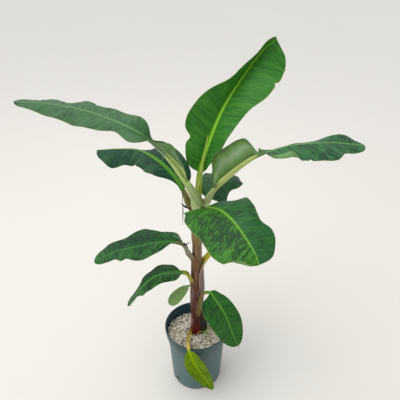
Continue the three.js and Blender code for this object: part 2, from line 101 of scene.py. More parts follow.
LEAVES = [USUAL | leaf for leaf in (
    dict(
        name="top",
        midrib=[
            (5, 3, 692), (9, 6, 785), (15, 10, 840), (35, 25, 910), (72, 50, 998), (125, 85, 1075),
            (175, 110, 1135), (209, 122, 1157),
        ],
        stalk=138, foot=22, neck=16, sheath=(60, 100, 0), ribs=[8, 5.5, 4.5, 3.6, 3, 2.6, 2, 1.2],
        width=180, widest=0.6, shoulder=2.8, taper=2.6, faces=(-0.2, -0.9, 0.35),
        roll=[0, 0, -5, -15, -25],
        left=dict(lift=[30, 20, 22, 40, 60, 65, 60], share=[0.8, 0.8, 0.94, 0.76, 0.5, 0.45, 0.8]),
        right=dict(
            lift=[40, 30, 25, 30, 28, 10],
            share=[0.3, 0.5, 0.6, 0.62, 0.65, 0.77, 0.9, 1, 1.05, 1.1, 1.7],
        ),
        green=(46, 116, 28), rib=(136, 194, 52), bough=(186, 218, 0), blotches=(0, 0),
        nicks=[("left", 0.21, 0.2, 0.03), ("right", 0.765, 0.07, 0.012)],
    ),
    dict(
        name="far_left",
        midrib=[
            (4, -12, 690), (2, -32, 776), (-53, -60, 893), (-107, -83, 970), (-147, -80, 1000),
            (-202, -55, 1015), (-275, -20, 1025), (-370, 20, 1025), (-473, 55, 1017),
        ],
        stalk=160, foot=50, neck=26, sheath=(110, 120, 0.8),
        ribs=[13, 9, 5.5, 3.4, 2.4, 1.8, 1.6, 1.3, 1],
        width=130, widest=0.55, pinch=(0.28, 0.75, 0.04), ruffle=0.07, waves=6,
        left=dict(
            lift=[80, 80, 50, -5, -10, -16, -16, -16, -10],
            share=[0.3, 0.45, 0.55, 0.7, 1, 0.55, 0.76, 0.95, 0.83, 0.88, 0.75, 0.75, 0.8],
        ),
        right=dict(
            lift=[80, 80, 75, 30, 0, -5, -14, -14, -5],
            share=[0.3, 0.5, 0.45, 0.62, 0.7, 0.87, 1.05, 1, 1],
        ),
        green=(48, 94, 50), rib=(88, 128, 78), bough=(172, 194, 112), pale=(0.2, (96, 132, 78)),
        blotches=(0.35, 0.1), nicks=[("right", 0.62, 0.08, 0.008)],
    ),
    dict(
        name="far_right",
        midrib=[
            (11, -10, 690), (40, -28, 785), (84, -50, 850), (124, -62, 896), (155, -65, 920),
            (200, -60, 937), (252, -45, 942), (333, -25, 938), (390, -10, 927), (444, 0, 917),
        ],
        stalk=130, foot=38, neck=20, sheath=(110, 115, 1.6),
        ribs=[9.5, 8, 6.5, 4.5, 2.2, 1.9, 1.6, 1.3, 1],
        width=140, widest=0.5, taper=2.3, pinch=(0.354, 0.8, 0.012),
        left=dict(
            lift=[80, 84, 85, 85, 40, -20, -30, -28, -24, -10, 5, 10, 0],
            share=[0.5, 0.6, 0.6, 0.6, 0.35, 0.2, 0.4, 0.5, 0.5, 0.52, 0.64, 0.84, 0.6],
        ),
        right=dict(
            lift=[80, 80, 80, 85, 90, 0, -10, -10, -10, -10, -10, -10, -10],
            share=[0.75, 0.98, 1.24, 1.04, 0.87, 0.72, 0.92, 0.97, 1, 1.2, 0.8, 0.85, 1],
        ),
        green=(38, 96, 52), rib=(98, 150, 74), bough=(190, 202, 124), pale=(0.36, (96, 136, 66)),
        blotches=(0.8, 1), deep=(0.15, 0), nicks=[("right", 0.6, 0.1, 0.008)],
        curls=[("right", 0.46, 0.055)],
    ),
    dict(
        name="back_left",
        midrib=[
            (-8, 6, 680), (-32, 20, 752), (-61, 45, 792), (-102, 72, 825), (-160, 100, 849),
            (-227, 125, 840), (-294, 145, 825),
        ],
        stalk=90, foot=30, neck=14, sheath=(120, 110, 2.4),
        width=150, waves=5,
        left=dict(
            lift=[10, 0, -10, -30, -40, -40, -20],
            share=[0.15, 0.27, 0.45, 0.74, 0.79, 0.7, 0.71, 0.74, 0.78, 0.93, 1.13, 1.05, 1.1],
        ),
        right=dict(lift=[30, 45, 30, -20, -50, -50, -30], share=[1, 0.85, 0.85, 1, 1]),
        green=(12, 66, 42), rib=(84, 142, 40), bough=(112, 104, 54), blotches=(0.6, 0.6),
        deep=(0.2, 0), nicks=[("left", 0.5, 0.1, 0.01)],
    ),
    dict(
        name="back_right",
        midrib=[
            (14, 8, 685), (34, 28, 735), (59, 60, 750), (81, 105, 743), (101, 155, 728),
            (113, 195, 708), (121, 228, 688),
        ],
        stalk=55, foot=22, neck=14, sheath=(120, 105, 2.8),
        width=150, taper=2.6, ruffle=0.05,
        left=dict(lift=[10, 0, -5, -10], share=[1]),
        right=dict(
            lift=[-70, -70, -64, -64, -56, -40, -26, -13, -8, -9, -10, -10, -10],
            share=[1.2, 1.25, 1, 0.88, 0.64, 0.52, 0.65, 0.7, 0.5, 0.4, 0.35, 0.4, 0.5],
        ),
        green=(22, 76, 34), rib=(52, 112, 44), bough=(62, 118, 36), blotches=(0.6, 0.6),
        deep=(0, 0.1),
    ),
    dict(
        name="front",
        midrib=[
            (8, -12, 690), (18, -38, 740), (41, -80, 773), (68, -130, 797), (98, -185, 799),
            (125, -230, 782), (144, -262, 762), (151, -278, 745),
        ],
        stalk=70, foot=24, neck=12, sheath=(130, 100, 3.4), ribs=[5.5, 4, 3.2, 2.7, 2.2, 1.6, 1.1],
        width=215, shoulder=2.3, taper=2.3, ruffle=0.04,
        left=dict(
            lift=[5, 5, 10, 5, 0],
            share=[0.52, 0.54, 0.58, 0.71, 0.76, 0.73, 0.69, 0.61, 0.6, 0.77, 0.83, 0.85, 0.88],
        ),
        right=dict(
            lift=[5, -12, -25, -25, -10],
            share=[1.5, 0.98, 0.95, 0.93, 0.9, 0.87, 0.86, 0.89, 0.93, 0.98, 1.01, 1.03, 1.05],
        ),
        green=(44, 112, 16), rib=(96, 152, 34), bough=(84, 132, 44), blotches=(0.7, 1.05),
        deep=(0.7, 0), curls=[("right", 0.955, 0.07)],
    ),
    dict(
        name="mid_left",
        midrib=[
            (-12, -5, 515), (-27, -12, 580), (-54, -18, 604), (-105, -25, 612), (-163, -32, 604),
            (-228, -40, 592), (-276, -46, 572), (-300, -50, 557),
        ],
        stalk=83, foot=34, neck=17, sheath=(150, 95, 1.2), merges=38,
        ribs=[6.5, 5, 3.5, 2.4, 1.8, 1.5, 1.2, 1],
        width=125, ruffle=0.05,
        left=dict(
            lift=[10, 0, -5, -5, -5],
            share=[
                0.05, 0.06, 0.1, 0.33, 0.6, 0.79, 0.9, 0.92, 0.92, 0.88, 0.74, 0.8, 0.6, 0.72, 0.8,
                0.85, 0.8,
            ],
        ),
        right=dict(
            lift=[10, 5, 0, 0, 0],
            share=[1, 1, 0.86, 0.75, 0.96, 1.25, 1.1, 0.97, 0.9, 0.87, 1, 1.05, 1.1],
        ),
        green=(30, 92, 34), rib=(62, 120, 50), bough=(126, 122, 84), pale=(0.14, (40, 92, 40)),
        blotches=(1, 0.9), deep=(0, 0.2),
    ),
    dict(
        name="mid_right",
        midrib=[
            (10, 0, 480), (30, 5, 525), (47, 12, 543), (75, 45, 545), (112, 100, 535),
            (155, 160, 515), (185, 200, 480),
        ],
        stalk=92, foot=24, neck=16, sheath=(150, 85, 2.6), merges=36,
        width=90,
        left=dict(lift=[10, 0, -10], share=[1]),
        right=dict(lift=[10, 0, -10], share=[1]),
        green=(30, 88, 38), rib=(90, 140, 54), bough=(206, 190, 0), blotches=(0.8, 0.8),
    ),
    dict(
        name="low_left",
        midrib=[
            (-7, -5, 405), (-21, -12, 470), (-43, -20, 489), (-82, -33, 500), (-115, -42, 498),
            (-147, -51, 480), (-177, -58, 447), (-214, -62, 391),
        ],
        stalk=102, foot=24, neck=14, sheath=(150, 80, 2.4), merges=46,
        width=85,
        left=dict(
            lift=[0, -5, 0],
            share=[
                0.7, 1.04, 1.2, 1.02, 0.92, 0.91, 0.89, 0.84, 0.82, 0.8, 0.87, 0.6, 0.42, 0.6, 0.7,
                0.85, 0.8,
            ],
        ),
        right=dict(
            lift=[0, 0, 0],
            share=[1.3, 1.3, 1.18, 0.98, 0.89, 0.77, 0.7, 0.64, 0.52, 0.36, 0.45, 0.8, 0.8],
        ),
        green=(36, 94, 34), rib=(70, 130, 52), bough=(156, 162, 18), blotches=(1, 0.9),
        deep=(0, 0.2),
    ),
    dict(
        name="small",
        midrib=[(-8, 12, 400), (-20, 22, 395), (-40, 28, 371), (-65, 32, 335), (-91, 36, 292)],
        stalk=25, foot=8, neck=5, sheath=(30, 30, 1.5),
        width=40, widest=0.62, shoulder=1.8, taper=2, faces=(-0.3, -0.9, 0.4), ruffle=0.04,
        waves=3,
        left=dict(lift=[10], share=[1]),
        right=dict(lift=[10], share=[1]),
        green=(116, 150, 84), rib=(130, 160, 96), bough=(120, 140, 80), blotches=(0.2, 0.2),
    ),
    dict(
        name="low_right",
        midrib=[
            (4, -20, 222), (5, -22, 290), (9, -25, 354), (18, -33, 407), (42, -42, 425),
            (60, -55, 406), (80, -68, 380), (98, -80, 345), (115, -91, 295), (134, -102, 250),
        ],
        stalk=220, foot=17, neck=10, sheath=(0, 0, 0), merges=90, ribs=[3.5, 2.6, 2, 1.5, 1],
        width=105, shoulder=2.4, faces=(0.3, -0.8, 0.5), ruffle=0.03, waves=3,
        left=dict(lift=[10], share=[0.65, 0.75, 0.85, 0.85]),
        right=dict(lift=[5], share=[1.35, 1.2, 1.05, 1.05]),
        green=(30, 92, 22), rib=(84, 140, 40), bough=(126, 94, 46), blotches=(0.3, 0.2),
    ),
    dict(
        name="rim",
        midrib=[
            (-18, -10, 228), (-26, -60, 236), (-25, -108, 243), (-10, -127, 203), (15, -132, 150),
            (56, -130, 62),
        ],
        stalk=110, foot=13, neck=10, sheath=(0, 0, 0),
        width=64, widest=0.36, taper=1.5, faces=(0, -1, 0.3), ruffle=0.03, waves=3,
        left=dict(lift=[15], share=[1]),
        right=dict(lift=[15], share=[1]),
        green=(98, 130, 0), rib=(124, 156, 4), bough=(204, 176, 70), blotches=(0.75, 0.55),
    ),
)]

YELLOWING = ("rim",)
SPEAR_AXIS = [(5, -3, 692), (8, -4, 775), (15, -2, 840), (25, 1, 895), (33, 4, 942)]
SPEAR_RADIUS = [5, 5.5, 5, 3.5, 1]


# Curves and lists


def lerp(low, high, share):
    return low + (high - low) * share


def smooth(value, low, high):
    share = min(max((value - low) / (high - low), 0), 1)
    return share * share * (3 - 2 * share)


def bend_through(before, start, end, after, share):
    """The smooth curve between two of four values or points."""
    first = (end - before) * 0.5
    last = (after - start) * 0.5
    cubic = (start - end) * 2 + first + last
    square = (end - start) * 3 - first * 2 - last
    return cubic * share**3 + square * share**2 + first * share + start


def along(values, share):
    """The value a share of the way along a list, on the smooth curve through its values."""
    last = len(values) - 1
    if last == 0:
        return values[0]
    place = min(max(share, 0), 1) * last
    index = min(int(place), last - 1)
    four = [values[min(max(index + step, 0), last)] for step in (-1, 0, 1, 2)]
    return bend_through(*four, place - index)


class Path:
    """A smooth curve through points, measured along its length."""

    STEPS = 400

    def __init__(self, points):
        points = [Vector(point) for point in points]
        points = [points[0] * 2 - points[1], *points, points[-1] * 2 - points[-2]]
        spans = len(points) - 3
        self.points = []
        for step in range(self.STEPS + 1):
            place = step / self.STEPS * spans
            index = min(int(place), spans - 1)
            self.points.append(bend_through(*points[index:index + 4], place - index))
        self.marks = [0]
        for start, end in zip(self.points, self.points[1:]):
            self.marks.append(self.marks[-1] + (end - start).length)
        self.length = self.marks[-1]

    def at(self, distance):
        distance = min(max(distance, 0), self.length)
        index = min(max(bisect_left(self.marks, distance), 1), self.STEPS)
        low, high = self.marks[index - 1], self.marks[index]
        return self.points[index - 1].lerp(self.points[index], (distance - low) / (high - low))

    def run(self, distance):
        return (self.at(distance + 1.5) - self.at(distance - 1.5)).normalized()


def frame_at(path, distance, faces, roll=0):
    """Where a midrib is, and which way its right side and its upper side look."""
    run = path.run(distance)
    right = run.cross(Vector(faces)).normalized()
    right.rotate(Quaternion(run, -math.radians(roll)))
    return path.at(distance), right, right.cross(run)


def ring_point(centre, radius, angle, height):
    """A point of an upright round skin."""
    x = centre[0] + radius * math.cos(angle)
    y = centre[1] + radius * math.sin(angle)
    return Vector((x, y, height))


def round_point(path, distance, faces, radius, turn):
    """A point of a round skin about a path."""
    origin, right, upper = frame_at(path, distance, faces)
    return origin + right * radius * math.cos(turn) + upper * radius * math.sin(turn)


def bump_at(share, place, width, power=2):
    """1 at a place along a blade, falling to 0 a width and more away."""
    return math.exp(-(((share - place) / width) ** power))


# Meshes


def bent_sheet(name, columns, rows, place):
    """Adds a flat grid, moves each corner to its place and notes where it lies on the piece."""
    bpy.ops.object.select_all(action="DESELECT")
    bpy.ops.mesh.primitive_grid_add(x_subdivisions=columns, y_subdivisions=rows, size=1)
    sheet = bpy.context.object
    sheet.name = name
    sheet.data.name = name
    notes = sheet.data.attributes.new("lie", "FLOAT_VECTOR", "POINT")
    for corner in sheet.data.vertices:
        column = round((corner.co.x + 0.5) * columns)
        row = round((corner.co.y + 0.5) * rows)
        point, note = place(column, row)
        corner.co = point * MM
        notes.data[corner.index].vector = note
    return sheet


def closed_tube(name, columns, rows, place):
    """A bent sheet with its two long edges joined, its ends closed and its faces outwards."""
    piece = bent_sheet(name, columns, rows, place)
    bpy.ops.object.mode_set(mode="EDIT")
    bpy.ops.mesh.select_all(action="SELECT")
    bpy.ops.mesh.remove_doubles(threshold=0.000002)
    select_open_edges()
    bpy.ops.mesh.fill_holes(sides=0)
    bpy.ops.mesh.select_mode(type="VERT")
    turn_outwards(piece)
    return piece


def change_all(piece, change, **settings):
    """Runs one edit on all of a piece's mesh."""
    bpy.context.view_layer.objects.active = piece
    bpy.ops.object.mode_set(mode="EDIT")
    bpy.ops.mesh.select_all(action="SELECT")
    change(**settings)
    bpy.ops.object.mode_set(mode="OBJECT")


def turn_outwards(piece):
    change_all(piece, bpy.ops.mesh.normals_make_consistent, inside=False)


def select_open_edges():
    bpy.ops.mesh.select_mode(type="EDGE")
    bpy.ops.mesh.select_all(action="DESELECT")
    bpy.ops.mesh.select_non_manifold()


def finish_with(piece, kind, **settings):
    """Adds a modifier with its settings and applies it."""
    modifier = piece.modifiers.new(kind.title(), kind)
    for key, value in settings.items():
        setattr(modifier, key, value)
    bpy.context.view_layer.objects.active = piece
    bpy.ops.object.modifier_apply(modifier=modifier.name)


def select_only(pieces):
    bpy.ops.object.select_all(action="DESELECT")
    for piece in pieces:
        piece.select_set(True)
    bpy.context.view_layer.objects.active = pieces[0]


def join(pieces, name):
    select_only(pieces)
    bpy.ops.object.join()
    piece = bpy.context.object
    piece.name = name
    return piece


def hand_over(piece, finishes, degrees, slot, *nodes):
    """Finishes a shaped piece and makes it part of the plant, in its nodes' place."""
    for finish in finishes:
        piece.data.materials.append(finish)
    select_only([piece])
    bpy.ops.object.shade_smooth_by_angle(angle=math.radians(degrees))
    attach(piece, "root")
    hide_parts(*nodes)


# Finishes


def colour(red, green, blue):
    """A colour as a screen shows it, 0 to 255 a channel, in the shader's own scale."""
    channels = []
    for value in (red, green, blue):
        share = value / 255
        channels.append(share / 12.92 if share <= 0.04045 else ((share + 0.055) / 1.055) ** 2.4)
    return tuple(channels)


def between(first, second, share):
    return tuple(lerp(low, high, share) for low, high in zip(first, second))


def shaded(tone, share):
    return tuple(channel * share for channel in tone)


class Wire:
    """What one socket gives. Wires can be added and multiplied, with numbers too."""

    def __init__(self, finish, socket):
        self.finish = finish
        self.socket = socket

    def __add__(self, other):
        return self.finish.maths("ADD", self, other)

    def __radd__(self, other):
        return self.finish.maths("ADD", other, self)

    def __sub__(self, number):
        return self + -number

    def __mul__(self, other):
        return self.finish.maths("MULTIPLY", self, other)


class Finish:
    """One material and short calls that wire its nodes."""

    def __init__(self, name, roughness, **sockets):
        self.material = bpy.data.materials.new(name)
        self.material.use_nodes = True
        self.tree = self.material.node_tree
        self.shader = self.tree.nodes["Principled BSDF"]
        for key, value in {"Roughness": roughness, **sockets}.items():
            self.shader.inputs[key].default_value = value

    def node(self, kind, inputs, output=0, **settings):
        """Adds a node, feeds its inputs and gives one of its outputs."""
        node = self.tree.nodes.new("ShaderNode" + kind)
        for key, value in settings.items():
            setattr(node, key, value)
        for key, value in inputs.items():
            self.feed(node.inputs[key], value)
        return Wire(self, node.outputs[output])

    def feed(self, socket, value):
        if isinstance(value, Wire):
            self.tree.links.new(value.socket, socket)
        elif socket.type == "RGBA":
            socket.default_value = (*value, 1)
        else:
            socket.default_value = value

    def split(self, vector):
        parts = self.node("SeparateXYZ", {0: vector}).socket.node.outputs
        return [Wire(self, part) for part in parts]

    def attribute(self, name):
        """The three numbers of a point's note."""
        return self.split(self.node("Attribute", {}, "Vector", attribute_name=name))

    def position(self):
        return self.node("TexCoord", {}, "Object")

    def place(self):
        """Where a point is, as three numbers."""
        return self.split(self.position())

    def drawn(self, level, upright):
        """Where a point is, scaled level and upright, for a grain that is drawn out."""
        x, y, z = self.place()
        return self.vector(x * level, y * level, z * upright)

    def maths(self, operation, first, second=0.0):
        return self.node("Math", {0: first, 1: second}, operation=operation)

    def vector(self, x, y, z):
        return self.node("CombineXYZ", {0: x, 1: y, 2: z})

    def speckle(self, vector, scale, detail=3.0, roughness=0.5):
        inputs = {"Vector": vector, "Scale": scale, "Detail": detail, "Roughness": roughness}
        return self.node("TexNoise", inputs)

    def cells(self, vector, scale):
        return self.node("TexVoronoi", {"Vector": vector, "Scale": scale}, "Distance")

    def step(self, value, low, high):
        """0 below low, 1 above high, smooth between."""
        inputs = {"Value": value, "From Min": low, "From Max": high}
        return self.node("MapRange", inputs, interpolation_type="SMOOTHSTEP")

    def blend(self, share, first, second):
        return self.node("Mix", {0: share, 6: first, 7: second}, 2, data_type="RGBA")

    def ramp(self, value, *stops):
        tone = self.node("ValToRGB", {0: value})
        elements = tone.socket.node.color_ramp.elements
        while len(elements) < len(stops):
            elements.new(1)
        for element, (place, stop) in zip(elements, stops):
            element.position = place
            element.color = (*stop, 1)
        return tone

    def paint(self, tone):
        self.feed(self.shader.inputs["Base Color"], tone)

    def gloss(self, value):
        self.feed(self.shader.inputs["Roughness"], value)

    def relief(self, height, depth, strength=1.0):
        """Small relief, in metres, that a look along the surface would show."""
        bump = self.node("Bump", {"Height": height, "Distance": depth, "Strength": strength})
        self.feed(self.shader.inputs["Normal"], bump)


# Settings


def tone_property(name, description, default):
    return bpy.props.FloatVectorProperty(
        name=name, description=description, default=colour(*default), subtype="COLOR",
        size=3, min=0, max=1,
    )


def number_property(name, description, default, **settings):
    return bpy.props.FloatProperty(
        name=name, description=description, default=default, **settings,
    )


def length_property(name, description, default):
    return number_property(name, description, default, subtype="DISTANCE", unit="LENGTH", min=0)


def group_property(group, name, description):
    return bpy.props.PointerProperty(type=group, name=name, description=description)


class PotSettings(bpy.types.PropertyGroup):
    """Sizes and colours of the pot."""

    lip: length_property("Lip", "How far the rolled lip stands out from the rim", 0.0012)
    outside: tone_property("Outside", "The pot's weathered outside", (74, 102, 102))
    # Painted shade: the collar tone is the dark band under the rim, where the rim's shade falls.
    collar: tone_property("Collar", "The plastic where it is least weathered", (40, 72, 74))
    # Painted shade: the inside tone is far darker than the outside and stands for the shade within
    # the pot.
    inside: tone_property("Inside", "The pot's inside", (6, 54, 66))


class GravelSettings(bpy.types.PropertyGroup):
    """Sizes and colours of the gravel."""

    stones: bpy.props.IntProperty(
        name="Stones", description="How many stones lie on the bed", default=3500, min=100,
    )
    stone_size: length_property("Stone size", "Width of a middling stone", 0.005)
    seed: bpy.props.IntProperty(name="Seed", description="Changes how the stones fall", default=7)
    pale: tone_property("Pale stones", "The palest stones", (222, 214, 198))
    sandy: tone_property("Sandy stones", "Warm stones", (180, 164, 136))
    grey: tone_property("Grey stones", "Grey stones", (136, 130, 118))
    # Painted shade: the bed shows only in the gaps between the stones, and this near-black tone
    # stands for the shade there.
    dust: tone_property("Dust", "The bed between the stones", (36, 30, 22))
    sprout: tone_property("Sprout", "The sprout of grass in the gravel", (160, 200, 30))


class StemSettings(bpy.types.PropertyGroup):
    """Colours of the pseudostem and the petioles."""

    foot: tone_property("Foot", "The stem just above the gravel", (104, 18, 16))
    low: tone_property("Low", "The stem a hand above the gravel", (72, 26, 24))
    middle: tone_property("Middle", "The stem half way up", (92, 62, 34))
    crown: tone_property("Crown", "The stem under the crown", (116, 92, 54))
    # This pale mauve tone is also painted as a highlight down the stem's left side.
    bloom_and_sheen: tone_property("Bloom", "The pale mauve skin of some sheaths", (164, 146, 142))
    # The dry tone also paints the shade in the cleft between the sheaths.
    dry: tone_property("Dry sheath", "Old sheaths and threads", (28, 21, 16))
    margin: tone_property("Petiole margin", "The red margin of a petiole", (140, 64, 44))
    new_growth: tone_property("New growth", "The rolled leaf", (164, 190, 46))


class BladeSettings(bpy.types.PropertyGroup):
    """Sizes and shared colours of the leaf blades."""

    thickness: length_property("Thickness", "Thickness of a blade", 0.0009)
    vein_spacing: length_property("Vein spacing", "From one side vein to the next", 0.0062)
    blotch: tone_property("Blotch", "Dark blotches along the veins", (14, 36, 28))
    deep: tone_property("Deep green", "The blue-dark green of shaded halves", (22, 76, 46))
    bloom_and_sheen: tone_property("Bloom", "The dull light between the veins", (112, 158, 118))
    under: tone_property("Under side", "Under side of a blade", (96, 148, 66))
    margin: tone_property("Margin", "The thin dry margin", (126, 132, 58))


class StageSettings(bpy.types.PropertyGroup):
    """The floor, the light and the camera."""

    floor: tone_property("Floor", "The pale floor", (216, 212, 205))
    lens: number_property(
        "Lens", "Focal length", 45, min=10, subtype="DISTANCE_CAMERA", unit="CAMERA",
    )
    camera_place: bpy.props.FloatVectorProperty(
        name="Camera place", description="Where the camera stands", size=3,
        default=(0.012, -1.171, 1.530), subtype="XYZ", unit="LENGTH",
    )
    camera_pitch: number_property(
        "Camera pitch", "How far the camera looks down", math.radians(33.9), subtype="ANGLE",
        unit="ROTATION",
    )
    key_power: number_property(
        "Key power", "Strength of the overhead light", 20, min=0, subtype="POWER", unit="POWER",
    )
    fill_power: number_property(
        "Fill power", "Strength of the light from the front", 10, min=0, subtype="POWER",
        unit="POWER",
    )
    window_power: number_property(
        "Window power", "Strength of the even light over floor and plant", 1.3, min=0,
    )


class PlantSettings(bpy.types.PropertyGroup):
    """Everything a user would change."""

    pot: group_property(PotSettings, "Pot", "The pot")
    gravel: group_property(GravelSettings, "Gravel", "The gravel")
    stem: group_property(StemSettings, "Stem", "The stem and petioles")
    blade: group_property(BladeSettings, "Blades", "The leaf blades")
    stage: group_property(StageSettings, "Stage", "Floor, light and camera")


# Pot


def pot_radius(height):
    for (low, low_radius), (high, high_radius) in zip(POT_BENDS, POT_BENDS[1:]):
        if height <= high:
            return lerp(low_radius, high_radius, (height - low) / (high - low))
    return POT_BENDS[-1][1]


def pot_profile(lip):
    """Radius and height of the pot's skin, from the middle of its underside to its floor."""
    top = POT_BENDS[-1][0]
    outside = [(60, 1.6), (76, 1.6), (78.5, 0), (82.5, 0), (84, 1.2)]
    outside += [(pot_radius(height), height) for height in (14, 60, 120, 160)]
    shoulder = [(174, -0.3), (178, 0.4), (202, 0.2), (206, 0.1), (209, 0)]
    outside += [(pot_radius(height) + out, height) for height, out in shoulder]
    edge = pot_radius(top)
    rolled = [(edge - 0.5, top - 5.5), (edge + lip, top - 4.6), (edge + lip, top - 1)]
    rolled += [(edge + lip - 0.7, top), (edge - POT_WALL + 0.6, top), (edge - POT_WALL, top - 1)]
    inside = [(pot_radius(height) - POT_WALL, height) for height in (209, 205, 175, 120, 60, 6)]
    return outside + rolled + inside + [(78, POT_FLOOR)]


def spin_profile(name, profile, sides):
    """Draws a ring up a profile of radius and height, by extruding and scaling it."""
    bpy.ops.object.select_all(action="DESELECT")
    radius, height = profile[0]
    bpy.ops.mesh.primitive_circle_add(
        vertices=sides, radius=radius * MM, location=(0, 0, 0), fill_type="NOTHING",
    )
    piece = bpy.context.object
    piece.name = name
    bpy.ops.object.mode_set(mode="EDIT")
    bpy.ops.mesh.select_all(action="SELECT")
    bpy.ops.transform.translate(value=(0, 0, height * MM))
    for next_radius, next_height in profile[1:]:
        bpy.ops.mesh.extrude_edges_move(
            TRANSFORM_OT_translate={"value": (0, 0, (next_height - height) * MM)},
        )
        scale = next_radius / radius
        bpy.ops.transform.resize(value=(scale, scale, 1), center_override=(0, 0, next_height * MM))
        radius, height = next_radius, next_height
    bpy.ops.mesh.edge_face_add()
    bpy.ops.mesh.inset(thickness=0.02)
    select_open_edges()
    bpy.ops.mesh.edge_face_add()
    bpy.ops.mesh.inset(thickness=0.02)
    bpy.ops.mesh.select_mode(type="VERT")
    bpy.ops.object.mode_set(mode="OBJECT")
    turn_outwards(piece)
    return piece


def drain_cutter(angle, low, high):
    """A rounded block that stands where a drain slot or hole is cut through the pot's wall."""
    bpy.ops.object.select_all(action="DESELECT")
    bpy.ops.mesh.primitive_cube_add(size=1, location=(0, 0, 0))
    cutter = bpy.context.object
    bpy.ops.object.mode_set(mode="EDIT")
    bpy.ops.mesh.select_all(action="SELECT")
    bpy.ops.transform.resize(value=(0.018, SLOT_WIDTH * MM, (high - low) * MM))
    bpy.ops.mesh.bevel(offset=0.0035, segments=4)
    place = (POT_BENDS[0][1] * MM + 0.003, 0, (low + high) / 2 * MM)
    bpy.ops.transform.translate(value=place)
    bpy.ops.transform.rotate(
        value=-math.radians(angle), orient_axis="Z", center_override=(0, 0, 0),
    )
    bpy.ops.object.mode_set(mode="OBJECT")
    return cutter


def cut_away(piece, cutter):
    finish_with(piece, "BOOLEAN", operation="DIFFERENCE", solver="EXACT", object=cutter)
    bpy.data.objects.remove(cutter)


def pot_finish(name, body, weathered):
    """Satin plastic with fine draw marks, grime and pale dust low down, painted darker at the top
    as shade under the rim.
    """
    finish = Finish(name, 0.45, IOR=1.46)
    position = finish.position()
    z = finish.place()[2]
    cloud = finish.speckle(position, 14, 5)
    streaks = finish.speckle(finish.drawn(26, 3), 4, 6, 0.6)
    # Painted shade under the rim: the top takes the darker first tone, which fades into the second
    # tone lower down.
    height = finish.step(z, 0.235, 0.12)
    clear_of_rim_shade = finish.maths("MINIMUM", height + cloud * 0.35, 1.0)
    clear_of_rim_shade = clear_of_rim_shade * (0.72 + streaks * 0.4)
    base = finish.blend(clear_of_rim_shade, body, weathered)
    grime = finish.step(finish.speckle(position, 60, 6, 0.65), 0.58, 0.78)
    base = finish.blend(grime * 0.25, base, shaded(weathered, 0.55))
    dust = finish.step(z, 0.02, 0.0) * finish.step(cloud, 0.35, 0.65)
    base = finish.blend(dust * 0.4, base, colour(150, 140, 124))
    finish.paint(base)
    fine = finish.speckle(position, 900, 2)
    finish.gloss(0.36 + streaks * 0.2)
    finish.relief(fine * 0.4 + streaks * 0.4, 0.0002, 0.5)
    return finish.material


class BANANA_OT_pot(bpy.types.Operator):
    """Model the pot: its wall, shoulder, collar, rolled lip and drain slots"""

    bl_idname = "banana.pot"
    bl_label = "Pot"

    def execute(self, context):
        settings = context.scene.banana.pot
        pot = spin_profile("pot_shell", pot_profile(settings.lip / MM), 120)
        for slot in range(SLOT_COUNT):
            turn = slot * 360 / SLOT_COUNT
            cut_away(pot, drain_cutter(SLOT_FIRST_ANGLE + turn, -SLOT_HEIGHT, SLOT_HEIGHT))
            cut_away(pot, drain_cutter(HOLE_FIRST_ANGLE + turn, HOLE_LOW, HOLE_HIGH))
        pot.data.materials.clear()
        # On the outside the collar tone paints the shade under the rim.
        pot.data.materials.append(pot_finish("pot_outside", settings.collar, settings.outside))
        # The inside copy of the finish is darker throughout: painted shade within the pot.
        pot.data.materials.append(pot_finish("pot_inside", settings.inside, settings.collar))
        # Faces that look inwards or straight up, the rim's top among them, take the darker inside
        # tone: painted shade.
        for face in pot.data.polygons:
            outward = Vector((face.center.x, face.center.y, 0)).normalized()
            inner = face.normal.dot(outward) < -0.3 or face.normal.z > 0.9
            face.material_index = int(inner and face.center.z > 0.002)
        finish_with(
            pot, "BEVEL", width=0.0004, segments=2, limit_method="ANGLE",
            angle_limit=math.radians(40),
        )
        hand_over(pot, (), 40, "pot", "pot")
        return {"FINISHED"}


# Potting mix and gravel

BED_REACH = 98
BED_SKIRT = 99.8
STONES_REACH = 98.5
STONE_KINDS = 7
BED_SINK = 4.5
BED_UNDERSIDE = 177


def gravel_height(x, y):
    middle = (GRAVEL_AT_FRONT + GRAVEL_AT_BACK) / 2
    slope = (GRAVEL_AT_BACK - GRAVEL_AT_FRONT) / (2 * POT_BENDS[-1][1])
    away = smooth(math.hypot(x, y), MOUND_INNER, MOUND_OUTER)
    return lerp(GRAVEL_AT_STEM, middle + slope * y, away)


def stem_centre(height):
    share = (height - STEM_FOOT) / (STEM_TOP - STEM_FOOT)
    return Vector([along([point[axis] for point in STEM_AXIS], share) for axis in (0, 1)])


def stem_radius(height):
    return along(STEM_RADIUS, (height - STEM_FOOT) / (STEM_TOP - STEM_FOOT))


def mix_finish():
    """Dark, damp and fibrous."""
    finish = Finish("potting_mix_damp", 0.9)
    position = finish.position()
    crumbs = finish.speckle(position, 160, 8, 0.7)
    fibres = finish.cells(position, 420)
    tones = [(0.3, colour(24, 17, 12)), (0.55, colour(58, 42, 30)), (0.75, colour(96, 74, 52))]
    finish.paint(finish.ramp(crumbs, *tones))
    finish.relief(crumbs + fibres, 0.0015)
    return finish.material


def stone_finish(name, tone):
    """Porous stone: pale dust over darker pits."""
    finish = Finish(name, 0.92)
    position = finish.position()
    grain = finish.speckle(position, 700, 6, 0.65)
    pits = finish.cells(position, 900)
    dark = shaded(tone, 0.5)
    pale = between(tone, (1, 1, 1), 0.18)
    finish.paint(finish.ramp(grain, (0.32, dark), (0.5, tone), (0.7, pale)))
    finish.relief(grain + pits, 0.0006)
    return finish.material


# The bed between the stones, painted near-black as the shade in the gaps.
def gap_shade_finish(tone):
    finish = Finish("gravel_gap_shade", 0.95)
    position = finish.position()
    grain = finish.speckle(position, 380, 7, 0.7)
    finish.paint(finish.ramp(grain, (0.3, shaded(tone, 0.3)), (0.62, tone)))
    finish.relief(grain, 0.0015)
    return finish.material


